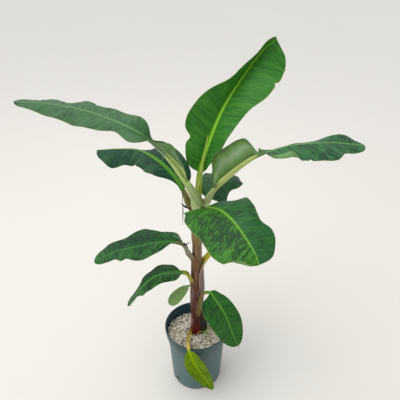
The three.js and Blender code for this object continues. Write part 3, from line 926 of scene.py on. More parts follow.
def gravel_bed():
    """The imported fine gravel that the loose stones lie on."""
    columns, rows = 72, 22
    top_rows = 0.8

    def place(column, row):
        angle = 2 * math.pi * column / columns
        share = row / rows / top_rows
        if share < 1:
            reach = BED_REACH * share
            low = gravel_height(*ring_point((0, 0), reach, angle, 0).xy) - BED_SINK
            reach = min(reach, pot_radius(low) - POT_WALL - 0.3)
            x, y = ring_point((0, 0), reach, angle, 0).xy
            bumps = 1.6 * noise(Vector((x / 6, y / 6, 3))) - 2.5
            return Vector((x, y, gravel_height(x, y) + bumps)), (x, y, 0)
        depth = (row / rows - top_rows) / (1 - top_rows)
        top = gravel_height(*ring_point((0, 0), BED_REACH, angle, 0).xy) - BED_SINK
        height = lerp(top, BED_UNDERSIDE, depth)
        reach = min(BED_SKIRT, pot_radius(height) - POT_WALL - 0.3)
        return ring_point((0, 0), reach, angle, height), (0, 0, 1)

    return closed_tube("gravel_bed", columns, rows, place)


def model_stone(seed):
    """One rounded, uneven stone about a unit across, with a few dozen faces."""
    bpy.ops.object.select_all(action="DESELECT")
    bpy.ops.mesh.primitive_cube_add(size=1, location=(0, 0, 0))
    stone = bpy.context.object
    change_all(stone, bpy.ops.mesh.subdivide, number_cuts=1, smoothness=0.55)
    for corner in stone.data.vertices:
        offset = Vector((seed * 3.1, seed * 1.7, seed * 5.3))
        corner.co *= 1 + 0.55 * noise(corner.co * 1.6 + offset)
    return stone


def scatter_stones(settings):
    """Copies of a few stones, each turned, sized and laid on the bed on its own."""
    rng = random.Random(settings.seed)
    kinds = [model_stone(seed) for seed in range(STONE_KINDS)]
    tones = [("pale", settings.pale), ("sandy", settings.sandy), ("grey", settings.grey)]
    finishes = [stone_finish(f"stone_{name}", tone) for name, tone in tones]
    finishes.append(stone_finish("stone_dark", shaded(settings.grey, 0.45)))
    shares = [0.42, 0.74, 0.9, 1]
    collection = bpy.context.scene.collection
    stones = []
    golden = math.pi * (3 - math.sqrt(5))
    for index in range(settings.stones):
        layer = index % 3
        spread = math.sqrt((index + 0.5) / settings.stones)
        size = settings.stone_size / MM * rng.uniform(0.62, 1.3)
        reach = spread * (STONES_REACH - size / 2)
        angle = index * golden + rng.uniform(-0.06, 0.06)
        x = reach * math.cos(angle) + rng.uniform(-1.6, 1.6)
        y = reach * math.sin(angle) + rng.uniform(-1.6, 1.6)
        height = gravel_height(x, y) + (-2.2, -0.6, 0.8)[layer] + rng.uniform(-0.8, 0.8)
        room = (pot_radius(height - size / 2) - POT_WALL - size * 0.62) / math.hypot(x, y)
        x, y = x * min(room, 1), y * min(room, 1)
        from_stem = (Vector((x, y)) - stem_centre(height)).length - stem_radius(height)
        if from_stem < size * 0.3:
            continue
        stone = kinds[rng.randrange(len(kinds))].copy()
        stone.data = stone.data.copy()
        flat = (size, size * rng.uniform(0.7, 1), size * rng.uniform(0.55, 0.85))
        turn = Euler([rng.uniform(0, 2 * math.pi) for axis in range(3)]).to_matrix().to_4x4()
        tilt = Euler((rng.uniform(-0.5, 0.5), rng.uniform(-0.5, 0.5), 0)).to_matrix().to_4x4()
        squash = Matrix.Diagonal((*[side * MM for side in flat], 1))
        place = Matrix.Translation((x * MM, y * MM, height * MM))
        stone.data.transform(place @ tilt @ squash @ turn)
        draw = rng.random()
        kind = next(number for number, share in enumerate(shares) if draw <= share)
        stone.data.materials.append(finishes[kind])
        collection.objects.link(stone)
        stones.append(stone)
    for kind in kinds:
        bpy.data.objects.remove(kind)
    return join(stones, "gravel_stones")


class BANANA_OT_gravel(bpy.types.Operator):
    """Model the gravel bed and the loose stones on it, and finish the potting mix"""

    bl_idname = "banana.gravel"
    bl_label = "Gravel"

    def execute(self, context):
        settings = context.scene.banana.gravel
        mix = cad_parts["potting_mix"]
        damp = mix_finish()
        for slot in mix.material_slots:
            slot.material = damp
        hand_over(gravel_bed(), [gap_shade_finish(settings.dust)], 60, "gravel", "gravel_layer")
        hand_over(scatter_stones(settings), (), 60, "gravel", "gravel_layer")
        return {"FINISHED"}


# Pseudostem


def sheath_tone(finish, settings):
    """The skin of the sheaths by height: maroon at the foot, then brown, then olive grey."""
    z = finish.place()[2]
    drawn = finish.drawn(140, 7)
    streaks = finish.speckle(drawn, 1.6, 5, 0.6)
    fine = finish.speckle(drawn, 5, 4, 0.6)
    patches = finish.speckle(finish.drawn(30, 1), 1.6, 3)
    tall = (STEM_TOP - STEM_FOOT) * MM
    height = z * (1 / tall) - STEM_FOOT * MM / tall
    height = height + (streaks - 0.5) * 0.5 + (patches - 0.5) * 0.25
    tone = finish.ramp(
        height, (0.02, settings.foot), (0.14, settings.low),
        (0.36, between(settings.low, settings.middle, 0.35)), (0.52, settings.middle),
        (0.74, settings.crown), (1, between(settings.crown, settings.new_growth, 0.35)),
    )
    wide = finish.speckle(drawn, 2.4, 3, 0.5)
    pale = finish.step(wide, 0.54, 0.66) * finish.step(z, 0.26, 0.36)
    tone = finish.blend(pale * 0.4, tone, settings.bloom_and_sheen)
    dark = shaded(settings.foot, 0.3)
    tone = finish.blend(finish.step(streaks, 0.52, 0.62) * 0.6, tone, dark)
    return tone, fine, streaks


def stem_finish(settings):
    """Overlapping sheaths with a mauve one to the right, painted shade in the cleft beside it and a
    painted highlight down the stem's left side.
    """
    finish = Finish("stem_sheaths", 0.42, IOR=1.42)
    tone, fine, streaks = sheath_tone(finish, settings)
    x, _, z = finish.place()
    band = finish.step(z, 0.335, 0.35) * finish.step(z, 0.5, 0.44)
    right = finish.step(x, 0.0115, 0.014) * band
    tone = finish.blend(right * 0.8, tone, settings.bloom_and_sheen)
    # Painted shade: the cleft between the sheaths is painted with the dark dry tone.
    cleft = finish.step(x, 0.005, 0.008) * finish.step(x, 0.0135, 0.0115)
    band = finish.step(z, 0.3, 0.33) * finish.step(z, 0.42, 0.36)
    cleft = cleft * band
    tone = finish.blend(cleft * 0.85, tone, settings.dry)
    # Painted highlight: a pale mauve band down the stem's left side, where the light catches it.
    left = finish.step(x, -0.009, -0.0135) * finish.step(z, 0.23, 0.28)
    left = left * finish.step(fine, 0.35, 0.6)
    tone = finish.blend(left * 0.65, tone, settings.bloom_and_sheen)
    finish.paint(tone)
    finish.gloss(0.3 + fine * 0.3)
    finish.relief(fine + streaks, 0.0008, 0.8)
    return finish.material


class BANANA_OT_pseudostem(bpy.types.Operator):
    """Model the pseudostem with the edges of its rolled sheaths"""

    bl_idname = "banana.pseudostem"
    bl_label = "Pseudostem"

    def execute(self, context):
        columns, rows = 96, 200

        def place(column, row):
            share = row / rows
            height = lerp(STEM_FOOT - 6, STEM_TOP, share)
            angle = 2 * math.pi * column / columns
            centre = stem_centre(height)
            radius = stem_radius(height)
            turns = angle / (2 * math.pi) + 0.35 * share + 0.04 * noise(Vector((0, 0, share * 9)))
            edge = (2 * turns) % 1
            lap = 1.5 * edge - 1.1 * smooth(edge, 0.93, 1)
            ribs = 0.22 * math.sin(23 * angle + 4 * share) + 0.15 * math.sin(41 * angle)
            uneven = 0.8 * noise(Vector((math.cos(angle), math.sin(angle), share * 7)))
            swell = 2.2 * smooth(share, 0.06, 0) * abs(math.sin(3 * angle))
            radius += lap - 1.9 + ribs * (1 - share * 0.5) + uneven + swell
            return ring_point(centre, radius, angle, height), (angle, share, 0)

        stem = closed_tube("pseudostem_sheaths", columns, rows, place)
        finish = stem_finish(context.scene.banana.stem)
        hand_over(stem, [finish], 60, "pseudostem", "pseudostem")
        return {"FINISHED"}


# Petioles and the sheaths at their feet

STALK_HALF = 9
SHEATH_MEETS = 70


def stalk_radius(leaf, distance):
    share = min(max(distance / leaf["stalk"], 0), 1)
    radius = lerp(leaf["foot"], leaf["neck"], share**1.2) / 2
    if not leaf["sheath"][0]:
        radius *= lerp(0.55, 1, smooth(share, 0, 0.12))
    return radius


def channel_point(leaf, path, distance, across, under):
    """A point of a petiole's skin: a groove above, a round keel below, and thin wings."""
    origin, right, upper = frame_at(path, distance, leaf["faces"], along(leaf["roll"], 0))
    radius = stalk_radius(leaf, distance)
    turn = across * math.pi / 2
    wing = 0.32 * radius
    depth = 1.25 * radius if under else 0.42 * radius
    sideways = radius * math.sin(turn)
    upward = wing - depth * math.cos(turn)
    return origin + right * sideways + upper * upward


def sheath_point(leaf, path, distance, across, under):
    """A point of a sheath that wraps the stem below its petiole."""
    reach, wrap, stand = leaf["sheath"]
    lean = path.at(min(SHEATH_MEETS, leaf["stalk"] * 0.6))
    foot = path.at(0)
    height = min(foot.z + distance, path.at(max(distance, 0)).z)
    centre = stem_centre(min(height, STEM_TOP))
    middle = math.atan2(lean.y - centre.y, lean.x - centre.x)
    rise = smooth(distance, -reach, -reach * 0.45)
    half = math.radians(wrap) * lerp(0.75, 1, rise) * lerp(1, 0.7, smooth(distance, -10, 40))
    angle = middle - across * half
    body = 1.9 * math.cos(across * math.pi / 2) ** 0.5 + 0.4 if under else 0
    radius = stem_radius(min(height, STEM_TOP)) + lerp(-4.4, stand - 1.1, rise) + body
    return ring_point(centre, radius, angle, height)


def make_petiole(leaf):
    """A petiole that grows out of its sheath and ends where its blade starts."""
    path = Path(leaf["midrib"])
    reach = leaf["sheath"][0]
    meets = min(SHEATH_MEETS, leaf["stalk"] * 0.6)
    columns = 4 * STALK_HALF
    rows = max(24, round((leaf["stalk"] + reach) / 4))

    def place(column, row):
        distance = lerp(-reach, leaf["stalk"], row / rows)
        under = column > columns / 2
        side = column / (columns / 2)
        across = 2 * side - 3 if under else 1 - 2 * side
        point = channel_point(leaf, path, max(distance, 0), across, under)
        if reach:
            wrapped = sheath_point(leaf, path, distance, across, under)
            point = wrapped.lerp(point, smooth(distance, 0, meets))
        return point, (across, distance * MM, 1 if under else 0)

    return closed_tube(f"petiole_{leaf['name']}_channel", columns, rows, place)


def petiole_finish(leaf, settings):
    """Ribbed skin that runs from the sheath's colour to the midrib's, with red wing edges."""
    finish = Finish(f"bough_{leaf['name']}", 0.42, IOR=1.33)
    redness = 0.8 if leaf["name"].startswith("far") else 0.2
    across, distance, under = finish.attribute("lie")
    drawn = finish.vector(across * 9, distance * 7, under)
    fine = finish.speckle(drawn, 1.6, 5, 0.65)
    patches = finish.speckle(finish.position(), 40, 4, 0.6)
    body = colour(*leaf["bough"])
    green = finish.blend(
        finish.step(fine, 0.32, 0.68), shaded(body, 0.6),
        between(body, (1, 1, 0.9) if "pale" in leaf else (1, 0.9, 0.3), 0.18),
    )
    length = leaf["stalk"] * MM
    rib = colour(*leaf["bough" if "pale" in leaf else "rib"])
    tone = finish.blend(finish.step(distance, 0.88 * length, length), green, rib)
    low = distance + (patches - 0.5) * 0.09
    if leaf["sheath"][0] or "merges" in leaf:
        merges = leaf.get("merges", 0) * MM
        skin = sheath_tone(finish, settings)[0]
        if leaf["name"] == "mid_right":
            mauve = finish.step(fine, 0.7, 0.3) * finish.step(low, -0.125, -0.06)
            skin = finish.blend(mauve, skin, settings.bloom_and_sheen)
        tone = finish.blend(finish.step(low, merges + 0.018, merges - 0.02), tone, skin)
    else:
        red_foot = between(body, settings.margin, 0.6)
        tone = finish.blend(finish.step(low, 0.045, 0.0), tone, red_foot)
    edge = finish.maths("ABSOLUTE", across)
    edge = edge + (patches - 0.5) * 0.3
    near = finish.step(distance, 0.8 * length, 0.3 * length)
    near = near * finish.step(distance, -0.02, 0.01)
    red = finish.step(edge, 0.66, 0.95) * near * redness
    tone = finish.blend(red, tone, settings.margin)
    lines = finish.step(fine, 0.56, 0.68) * near
    tone = finish.blend(lines * (0.3 * redness), tone, settings.bloom_and_sheen)
    finish.paint(tone)
    finish.gloss(0.32 + fine * 0.25)
    finish.relief(fine, 0.0006, 0.7)
    return finish.material


class BANANA_OT_petioles(bpy.types.Operator):
    """Model each leaf's petiole with the sheath that wraps the stem at its foot"""

    bl_idname = "banana.petioles"
    bl_label = "Petioles"

    def execute(self, context):
        settings = context.scene.banana.stem
        for leaf in LEAVES:
            finish = petiole_finish(leaf, settings)
            hand_over(make_petiole(leaf), [finish], 50, "petiole", f"petiole_{leaf['name']}")
        return {"FINISHED"}


# What is left of old leaves

# Threads and stubs: the node each belongs to, its points, and its radius from end to end.
STRANDS = [
    dict(
        name="thread", node="petiole_back_left", slot="petiole",
        points=[(-36, 14, 772), (-38, 13, 735), (-37, 15, 690), (-39.5, 14, 645)],
        radius=[1.1, 0.7, 0.9, 0.4],
    ),
    dict(
        name="stub_high", node="pseudostem", slot="pseudostem",
        points=[(-8, -8, 716), (-20, -10, 721), (-31, -9, 726), (-41, -8, 737)],
        radius=[1.8, 1.5, 1.8, 0.8],
    ),
    dict(
        name="stub_low", node="petiole_mid_left", slot="petiole",
        points=[(-36, -17, 594), (-28, -18, 598), (-18, -18, 606)],
        radius=[2, 1.8, 0.8],
    ),
    dict(
        name="tip_thread", node="leaf_low_right", slot="leaf",
        points=[(134, -102, 254), (137, -102, 246), (139, -102, 236)],
        radius=[0.9, 0.6, 0.4],
    ),
]
DRY_SHEATH_TURNS = (-62, 55)
DRY_SHEATH_TOP = 318


def dry_finish(settings):
    """Dark, dead and fibrous."""
    finish = Finish("dry_remains", 0.7)
    fibres = finish.speckle(finish.drawn(160, 14), 3, 6, 0.65)
    dry = settings.dry
    pale = between(dry, settings.bloom_and_sheen, 0.25)
    finish.paint(finish.ramp(fibres, (0.3, shaded(dry, 0.4)), (0.55, dry), (0.8, pale)))
    finish.relief(fibres, 0.001)
    return finish.material


def make_strand(strand):
    path = Path(strand["points"])
    columns, rows = 8, 24

    def place(column, row):
        share = row / rows
        turn = 2 * math.pi * column / columns
        radius = along(strand["radius"], share) * (1 + 0.3 * noise(Vector((share * 9, turn, 4))))
        point = round_point(path, share * path.length, (0.1, -1, 0.2), radius, turn)
        return point, (turn, share, 0)

    return closed_tube(f"remains_{strand['name']}", columns, rows, place)


def make_dry_sheath():
    """The husk of a lost leaf, which stands off the right of the stem above the gravel."""
    columns, rows = 24, 40

    def place(column, row):
        share = column / columns
        turn = math.radians(lerp(*DRY_SHEATH_TURNS, share))
        torn = 14 * noise(Vector((share * 5, 2, 8))) + 9 * noise(Vector((share * 17, 5, 1)))
        top = DRY_SHEATH_TOP - 30 * abs(share - 0.4) + torn
        height = lerp(206, top, row / rows)
        centre = stem_centre(height)
        bulge = 11 * math.sin(math.pi * share) ** 0.8 * (1 - 0.45 * smooth(row / rows, 0.3, 1))
        fold = 0.8 * noise(Vector((share * 14, row / rows * 2, 3)))
        radius = stem_radius(height) - 0.5 + bulge + fold
        return ring_point(centre, radius, turn, height), (share, row / rows, 0)

    piece = bent_sheet("remains_husk", columns, rows, place)
    finish_with(piece, "SOLIDIFY", thickness=0.0008, offset=-1)
    return piece


class BANANA_OT_remains(bpy.types.Operator):
    """Model the dry remains of old leaves: a husk by the stem, threads and stubs"""

    bl_idname = "banana.remains"
    bl_label = "Dry remains"

    def execute(self, context):
        finish = dry_finish(context.scene.banana.stem)
        hand_over(make_dry_sheath(), [finish], 60, "pseudostem", "pseudostem")
        for strand in STRANDS:
            hand_over(make_strand(strand), [finish], 60, strand["slot"], strand["node"])
        return {"FINISHED"}


# Sprout

SPROUT_FOOT = (25, -19, 219)
SPROUT_BLADES = [(-150, 30, 0.5), (-95, 20, 0.2), (-60, 26, 0.9), (-20, 28, 0.4), (30, 24, 0.8)]


def make_sprout_blade(turn, length, lean):
    """One narrow blade of grass that rises from the sprout's foot and bows outwards."""
    columns, rows = 4, 12
    out = ring_point((0, 0), 1, math.radians(turn), 0)
    aside = Vector((-out.y, out.x, 0))

    def place(column, row):
        share = row / rows
        bow = lean + 0.9 * share
        spine = out * length * share * math.sin(bow) + Vector(UP) * length * share * math.cos(bow)
        width = 1.5 * (1 - share**2) + 0.1
        across = 2 * column / columns - 1
        point = Vector(SPROUT_FOOT) + spine + aside * width * across
        point.z += 0.5 * abs(across)
        return point, (across, share, 0)

    piece = bent_sheet("sprout_blade", columns, rows, place)
    finish_with(piece, "SOLIDIFY", thickness=0.0004, offset=0)
    return piece


def sprout_finish(settings):
    finish = Finish("sprout_green", 0.45, IOR=1.4)
    across, share = finish.attribute("lie")[:2]
    body = settings.sprout
    veins = finish.speckle(finish.vector(across * 3, share * 2, 0.0), 3)
    tone = finish.blend(veins, shaded(body, 0.6), between(body, (1, 1, 0.7), 0.2))
    tone = finish.blend(finish.step(share, 0.35, 0), tone, between(body, (1, 1, 0.7), 0.4))
    finish.paint(tone)
    return finish.material


class BANANA_OT_sprout(bpy.types.Operator):
    """Model the sprout of grass that grows in the gravel beside the stem"""

    bl_idname = "banana.sprout"
    bl_label = "Sprout"

    def execute(self, context):
        sprout = join([make_sprout_blade(*blade) for blade in SPROUT_BLADES], "sprout_grass")
        finish = sprout_finish(context.scene.banana.gravel)
        hand_over(sprout, [finish], 60, "young_leaf", "gravel_layer")
        return {"FINISHED"}


# Leaf blades

HALF_COLUMNS = 16
RIB_COLUMNS = 3
CURL_FROM = 0.7
VEIN_SLANT = 0.4


def outline(leaf, share):
    """The half-width of a blade, as a share of the widest, from its base to its tip."""
    widest = leaf["widest"]
    if share < widest:
        away, power = (widest - share) / widest, leaf["shoulder"]
    else:
        away, power = (share - widest) / (1 - widest), leaf["taper"]
    return (1 - min(away, 1) ** power) ** (1 / power)


def blade_row(leaf, path, share):
    """What one row across a blade needs: its frame, its rib and each half's reach and lift."""
    distance = leaf["stalk"] + share * (path.length - leaf["stalk"])
    origin, right, upper = frame_at(path, distance, leaf["faces"], along(leaf["roll"], share))
    fill = smooth(share, 0, 0.08)
    rib = along(leaf.get("ribs", [leaf["neck"] / 2, 1]), share)
    halves = {}
    place, depth, width = leaf["pinch"]
    widest = leaf["width"] / 2 * outline(leaf, share) * (1 - depth * bump_at(share, place, width))
    for name, side in (("left", -1), ("right", 1)):
        half = leaf[name]
        reach = widest * along(half["share"], share)
        for torn, place, depth, width in leaf["nicks"]:
            if torn == name:
                reach *= 1 - depth * bump_at(share, place, width)
        reach = max(reach, rib + 0.5)
        lift = math.radians(along(half["lift"], share)) * fill
        wave = math.sin(2 * math.pi * leaf["waves"] * share + side) * leaf["ruffle"]
        curl = 0
        for rolled, place, spread in leaf["curls"]:
            if rolled == name:
                curl = bump_at(share, place, spread, 4)
        halves[side] = (reach, lift, wave * reach * fill, curl)
    return origin, right, upper, rib, distance, halves, fill


def blade_point(leaf, row, side, step):
    """A point of a blade's upper face: step 0 is the rib's edge and step 1 the margin."""
    origin, right, upper, rib, distance, halves, fill = row
    reach, lift, wave, curl = halves[side]
    away = rib + (reach - rib) * step
    slanted = distance - VEIN_SLANT * away
    folds = 0.9 * noise(Vector((slanted / 11, side * 4 + away / 60, leaf["width"])))
    folds += 0.35 * math.sin(slanted / 3.1)
    camber = 0.035 * reach * math.sin(math.pi * step)
    rise = wave * step * step + (folds * math.sin(math.pi * min(step, 0.9)) + camber) * fill
    if curl > 0.02 and step > CURL_FROM:
        width = (reach - rib) * (1 - CURL_FROM)
        bend = 0.4 * width
        beyond = (reach - rib) * (step - CURL_FROM)
        turn = 2.7 * curl
        reached = turn * min(beyond / bend, 1)
        flat = max(beyond - bend, 0)
        away += bend / turn * math.sin(reached) + flat * math.cos(turn) - beyond
        rise += bend / turn * (1 - math.cos(reached)) + flat * math.sin(turn)
    sideways = side * (away * math.cos(lift) - rise * math.sin(lift))
    upward = away * math.sin(lift) + rise * math.cos(lift)
    return origin + right * sideways + upper * upward, away


def make_blade(leaf, thickness, upper_finish, under_finish):
    """A blade with its grooved midrib above and its rounded keel below."""
    path = Path(leaf["midrib"])
    length = path.length - leaf["stalk"]
    rows = max(40, round(length / 2.6))
    columns = 2 * (HALF_COLUMNS + RIB_COLUMNS)
    middle = columns // 2
    table = [blade_row(leaf, path, row / rows) for row in range(rows + 1)]

    def place(column, row):
        origin, right, upper, rib, distance, halves = table[row][:6]
        offset = column - middle
        side = -1 if offset < 0 else 1
        count = abs(offset)
        if count > RIB_COLUMNS:
            step = (count - RIB_COLUMNS) / HALF_COLUMNS
            point, away = blade_point(leaf, table[row], side, step)
            return point, (side * away * MM, distance * MM, 1 + step)
        share = count / RIB_COLUMNS
        lift = halves[side][1]
        edge = origin + right * side * rib * math.cos(lift) + upper * rib * math.sin(lift)
        groove = upper * (-0.3 * rib * (1 - share * share))
        return origin.lerp(edge, share) + groove, (side * share * rib * MM, distance * MM, share)

    sheet = bent_sheet(f"leaf_{leaf['name']}_blade", columns, rows, place)
    sheet.data.materials.append(upper_finish)
    sheet.data.materials.append(under_finish)
    finish_with(
        sheet, "SOLIDIFY", thickness=thickness, offset=-1, material_offset=1,
        material_offset_rim=0, use_even_offset=False,
    )
    keel_columns, keel_rows = 12, rows // 2

    def keel_place(column, row):
        origin, right, upper, rib, distance = blade_row(leaf, path, row / keel_rows)[:5]
        across = 2 * column / keel_columns - 1
        turn = across * math.pi / 2
        width = rib * lerp(0.97, 0.8, row / keel_rows)
        low = rib * lerp(0.9, 1, row / keel_rows)
        point = origin + right * width * math.sin(turn)
        point += upper * (-0.25 * rib - low * math.cos(turn) * 0.8)
        return point, (across * rib * MM, distance * MM, 0)

    keel = bent_sheet("keel", keel_columns, keel_rows, keel_place)
    change_all(keel, bpy.ops.mesh.flip_normals)
    keel.data.materials.append(under_finish)
    finish_with(keel, "SOLIDIFY", thickness=0.0003, offset=-1)
    return join([sheet, keel], sheet.name)


def young_stretch(finish, leaf, distance):
    """1 from a blade's foot to where its pale stretch ends, 0 beyond."""
    length = Path(leaf["midrib"]).length
    meets = lerp(leaf["stalk"], length, leaf["pale"][0]) * MM
    return finish.step(distance, meets, meets - 0.02)


def pale_skin_painted_light(finish, leaf, part, uneven):
    """Soft and unblotched, with painted light: painted shade, deep green, by the rib and at the
    margin, and a painted highlight, palest, half way out.
    """
    skin = colour(*leaf["pale"][1])
    # Painted light across the blade: shade by the rib, a highlight half way out, shade again at the
    # margin.
    return finish.ramp(
        part + (uneven * 0.4 - 1.2), (0, shaded(skin, 0.5)), (0.22, skin),
        (0.5, between(skin, (1, 1, 1), 0.14)), (0.75, skin), (0.98, shaded(skin, 0.45)),
    )


def blade_upper_finish(leaf, settings):
    """Green with slanting side veins, ragged dark blotches along them and a bright midrib."""
    sheen = 1.15 if leaf["name"] in YELLOWING else 1.3
    finish = Finish(f"blade_{leaf['name']}_upper", 0.4, IOR=sheen)
    across, distance, part = finish.attribute("lie")
    away = finish.maths("ABSOLUTE", across)
    side = finish.maths("SIGN", across)
    slanted = distance + away * -VEIN_SLANT
    body = colour(*leaf["green"])
    rib = colour(*leaf["rib"])
    dark = between(settings.blotch, body, 0.12)
    if leaf["name"] in YELLOWING:
        dark = between(body, settings.blotch, 0.5)
    dull = between(body, settings.bloom_and_sheen, 0.6)
    sides = side * 3
    along_veins = finish.vector(slanted, away * 0.13, sides)
    broad = finish.speckle(along_veins, 95, 4, 0.6)
    fine = finish.speckle(along_veins, 290, 5, 0.7)
    cloud = finish.speckle(finish.vector(slanted, away, sides), 13, 4, 0.55)
    left, right = leaf["blotches"]
    lively = lerp(0.15, 0.4, min(max(left, right), 1))
    tone = finish.ramp(
        broad, (0.3, shaded(body, 0.8 - lively)), (0.5, body), (0.7, between(body, rib, lively)),
    )
    tone = finish.blend(finish.step(cloud, 0.45, 0.65) * 0.4, tone, body)
    # Painted shade: a leaf's deep shares darken its halves towards the blue-dark shaded tone.
    deep_left, deep_right = leaf["deep"]
    if deep_left or deep_right:
        deep = 0.5 * (deep_left + deep_right) + side * (0.5 * (deep_right - deep_left))
        tone = finish.blend(deep, tone, settings.deep)
    tone = finish.blend(finish.step(fine, 0.5, 0.64) * 0.55, tone, shaded(body, 0.42))
    marks = finish.speckle(finish.vector(slanted, away * 0.42, side * 5), 130, 6, 0.75)
    marks = marks + (cloud - 0.5) * 0.55
    marks = marks + side * (0.05 * (right - left))
    limit = 0.6 - 0.05 * (left + right)
    where = finish.step(marks, limit, limit + 0.04)
    if left or right:
        tone = finish.blend(where * 0.9, tone, dark)
    glints = finish.step(fine, 0.45, 0.35) * finish.step(cloud, 0.55, 0.42)
    tone = finish.blend(glints * (0.25 + 0.3 * max(left, right)), tone, dull)
    ripple = finish.maths("SINE", slanted * (2 * math.pi / settings.vein_spacing))
    tone = finish.blend(finish.step(ripple, 0.75, 1) * 0.1, tone, dull)
    if "pale" in leaf:
        young = young_stretch(finish, leaf, distance)
        tone = finish.blend(young, tone, pale_skin_painted_light(finish, leaf, part, broad))
        rib = finish.blend(young, rib, colour(*leaf["bough"]))
    tone = finish.blend(finish.step(part, 1.06, 0.9), tone, rib)
    edge = part + (cloud - 0.5) * 0.06
    margin = finish.step(edge, 1.972, 1.99) * 0.6
    tone = finish.blend(margin, tone, settings.margin)
    finish.paint(tone)
    finish.gloss(0.32 + fine * 0.3)
    lines = ripple * 0.35 + fine
    finish.relief(lines, 0.0006, 0.75)
    return finish.material


def blade_under_finish(leaf, settings):
    """Paler and duller, with the side veins standing out."""
    finish = Finish(f"blade_{leaf['name']}_under", 0.55, IOR=1.4)
    across, distance, part = finish.attribute("lie")
    away = finish.maths("ABSOLUTE", across)
    slanted = distance + away * -VEIN_SLANT
    veins = finish.vector(slanted, away * 0.12, 0.0)
    fine = finish.speckle(veins, 420, 4, 0.6)
    broad = finish.speckle(veins, 40, 2, 0.5)
    rib = colour(*leaf["rib"])
    body = between(settings.under, colour(*leaf["green"]), 0.3)
    tone = finish.blend(broad, shaded(body, 0.8), between(body, (1, 1, 0.85), 0.1))
    tone = finish.blend(finish.step(fine, 0.5, 0.7) * 0.3, tone, shaded(body, 0.65))
    keel = between(rib, (1, 1, 0.8), 0.15)
    if "pale" in leaf:
        young = young_stretch(finish, leaf, distance)
        tone = finish.blend(young, tone, pale_skin_painted_light(finish, leaf, part, broad))
        keel = finish.blend(young, keel, colour(*leaf["bough"]))
    tone = finish.blend(finish.step(part, 1.05, 0.9), tone, keel)
    finish.paint(tone)
    ripple = finish.maths("SINE", slanted * (2 * math.pi / settings.vein_spacing))
    finish.relief(ripple * 0.5 + fine, 0.0006, 0.8)
    return finish.material


class BANANA_OT_blades(bpy.types.Operator):
    """Model each leaf's blade, with its midrib, ruffled halves and torn margin"""

    bl_idname = "banana.blades"
    bl_label = "Leaf blades"

    def execute(self, context):
        settings = context.scene.banana.blade
        for leaf in LEAVES:
            upper = blade_upper_finish(leaf, settings)
            under = blade_under_finish(leaf, settings)
            blade = make_blade(leaf, settings.thickness, upper, under)
            slot = "young_leaf" if leaf["name"] in YELLOWING else "leaf"
            hand_over(blade, (), 70, slot, f"leaf_{leaf['name']}")
        return {"FINISHED"}


# The rolled new leaf


def spear_finish(settings):
    """Bright yellow-green, with a paler line along the edge of the roll."""
    finish = Finish("spear_skin", 0.42, IOR=1.42)
    across, distance = finish.attribute("lie")[:2]
    drawn = finish.vector(across * 6, distance * 12, 0.0)
    fine = finish.speckle(drawn, 2.4, 5, 0.6)
    body = settings.new_growth
    tone = finish.blend(fine, shaded(body, 0.7), between(body, (1, 1, 0.8), 0.12))
    edge = finish.step(across, 0.7, 0.95)
    tone = finish.blend(edge * 0.7, tone, between(body, (1, 1, 0.8), 0.35))
    finish.paint(tone)
    finish.relief(fine, 0.0005, 0.7)
    return finish.material


class BANANA_OT_spear(bpy.types.Operator):
    """Model the rolled new leaf with the edge of its roll winding up it"""

    bl_idname = "banana.spear"
    bl_label = "Rolled leaf"

    def execute(self, context):
        path = Path(SPEAR_AXIS)
        columns, rows = 40, 110

        def place(column, row):
            share = row / rows
            angle = 2 * math.pi * column / columns
            edge = (column / columns + 1.6 * share) % 1
            radius = along(SPEAR_RADIUS, share) * (0.9 + 0.16 * edge * smooth(edge, 1, 0.95))
            point = round_point(path, share * path.length, (0, -1, 0), radius, angle)
            return point, (edge * 2 - 1, share * path.length * MM, 0)

        spear = closed_tube("spear_rolled", columns, rows, place)
        hand_over(spear, [spear_finish(context.scene.banana.stem)], 60, "spear", "spear")
        return {"FINISHED"}


# Stage


def floor_finish(tone):
    finish = Finish("floor_pale", 0.8)
    cloud = finish.speckle(finish.position(), 1.1, 4, 0.5)
    finish.paint(finish.blend(cloud, shaded(tone, 0.96), tone))
    return finish.material


def add_light(name, place, size, power, tone):
    bpy.ops.object.light_add(type="AREA", location=place)
    light = bpy.context.object
    light.name = name
    light.data.size = size
    light.data.energy = power
    light.data.color = tone
    light.rotation_euler = (Vector((0, 0, 0.6)) - Vector(place)).to_track_quat("-Z", "Y").to_euler()


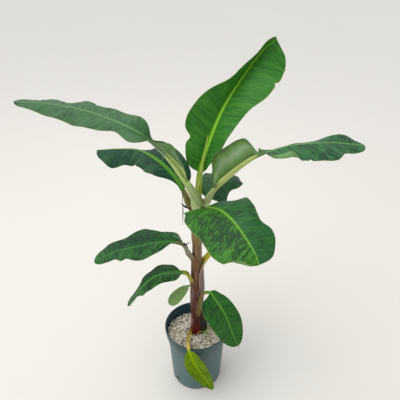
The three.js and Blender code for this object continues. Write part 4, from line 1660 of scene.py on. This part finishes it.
class BANANA_OT_stage(bpy.types.Operator):
    """Lay the pale floor, hang the soft lights and set the camera"""

    bl_idname = "banana.stage"
    bl_label = "Stage"

    def execute(self, context):
        settings = context.scene.banana.stage
        bpy.ops.object.select_all(action="DESELECT")
        bpy.ops.mesh.primitive_plane_add(size=30, location=(0, 0, 0))
        floor = bpy.context.object
        floor.name = "floor"
        floor.data.materials.append(floor_finish(settings.floor))
        add_light("key", (-0.5, 0.9, 2.6), 1.8, settings.key_power, (1, 0.985, 0.96))
        add_light("fill", (-1.6, -1.9, 1.7), 1.6, settings.fill_power, (0.95, 0.975, 1))
        bpy.ops.object.light_add(type="SUN", location=(-2, -1, 4))
        sun = bpy.context.object
        sun.name = "window"
        sun.data.energy = settings.window_power
        sun.data.angle = math.radians(50)
        sun.rotation_euler = Vector((0.5, 0.3, -1)).to_track_quat("-Z", "Y").to_euler()
        world = bpy.data.worlds.new("studio")
        world.use_nodes = True
        background = world.node_tree.nodes["Background"]
        background.inputs["Color"].default_value = (0.95, 0.97, 1, 1)
        background.inputs["Strength"].default_value = 0.78
        context.scene.world = world
        context.scene.view_settings.view_transform = "Standard"
        camera = bpy.data.cameras.new("front")
        camera.lens = settings.lens
        camera.sensor_width = 36
        view = bpy.data.objects.new("front", camera)
        view.location = settings.camera_place
        view.rotation_euler = (math.pi / 2 - settings.camera_pitch, 0, 0)
        context.scene.collection.objects.link(view)
        context.scene.camera = view
        return {"FINISHED"}


class BANANA_PT_panel(bpy.types.Panel):
    """The plant's pieces, in the order they are made"""

    bl_idname = "BANANA_PT_panel"
    bl_label = "Banana plant"
    bl_space_type = "VIEW_3D"
    bl_region_type = "UI"
    bl_category = "Banana plant"

    def draw(self, context):
        for operator in OPERATORS:
            self.layout.operator(operator.bl_idname)


OPERATORS = (
    BANANA_OT_stage,
    BANANA_OT_pot,
    BANANA_OT_gravel,
    BANANA_OT_pseudostem,
    BANANA_OT_petioles,
    BANANA_OT_blades,
    BANANA_OT_spear,
    BANANA_OT_remains,
    BANANA_OT_sprout,
)
CLASSES = (
    PotSettings,
    GravelSettings,
    StemSettings,
    BladeSettings,
    StageSettings,
    PlantSettings,
    *OPERATORS,
    BANANA_PT_panel,
)


def register():
    for item in CLASSES:
        bpy.utils.register_class(item)
    bpy.types.Scene.banana = group_property(
        PlantSettings, "Banana plant", "Sizes and colours of the plant",
    )


def unregister():
    del bpy.types.Scene.banana
    for item in reversed(CLASSES):
        bpy.utils.unregister_class(item)


def main():
    register()
    bpy.ops.banana.stage()
    bpy.ops.banana.pot()
    bpy.ops.banana.gravel()
    bpy.ops.banana.pseudostem()
    bpy.ops.banana.petioles()
    bpy.ops.banana.blades()
    bpy.ops.banana.spear()
    bpy.ops.banana.remains()
    bpy.ops.banana.sprout()


if __name__ == "__main__":
    main()
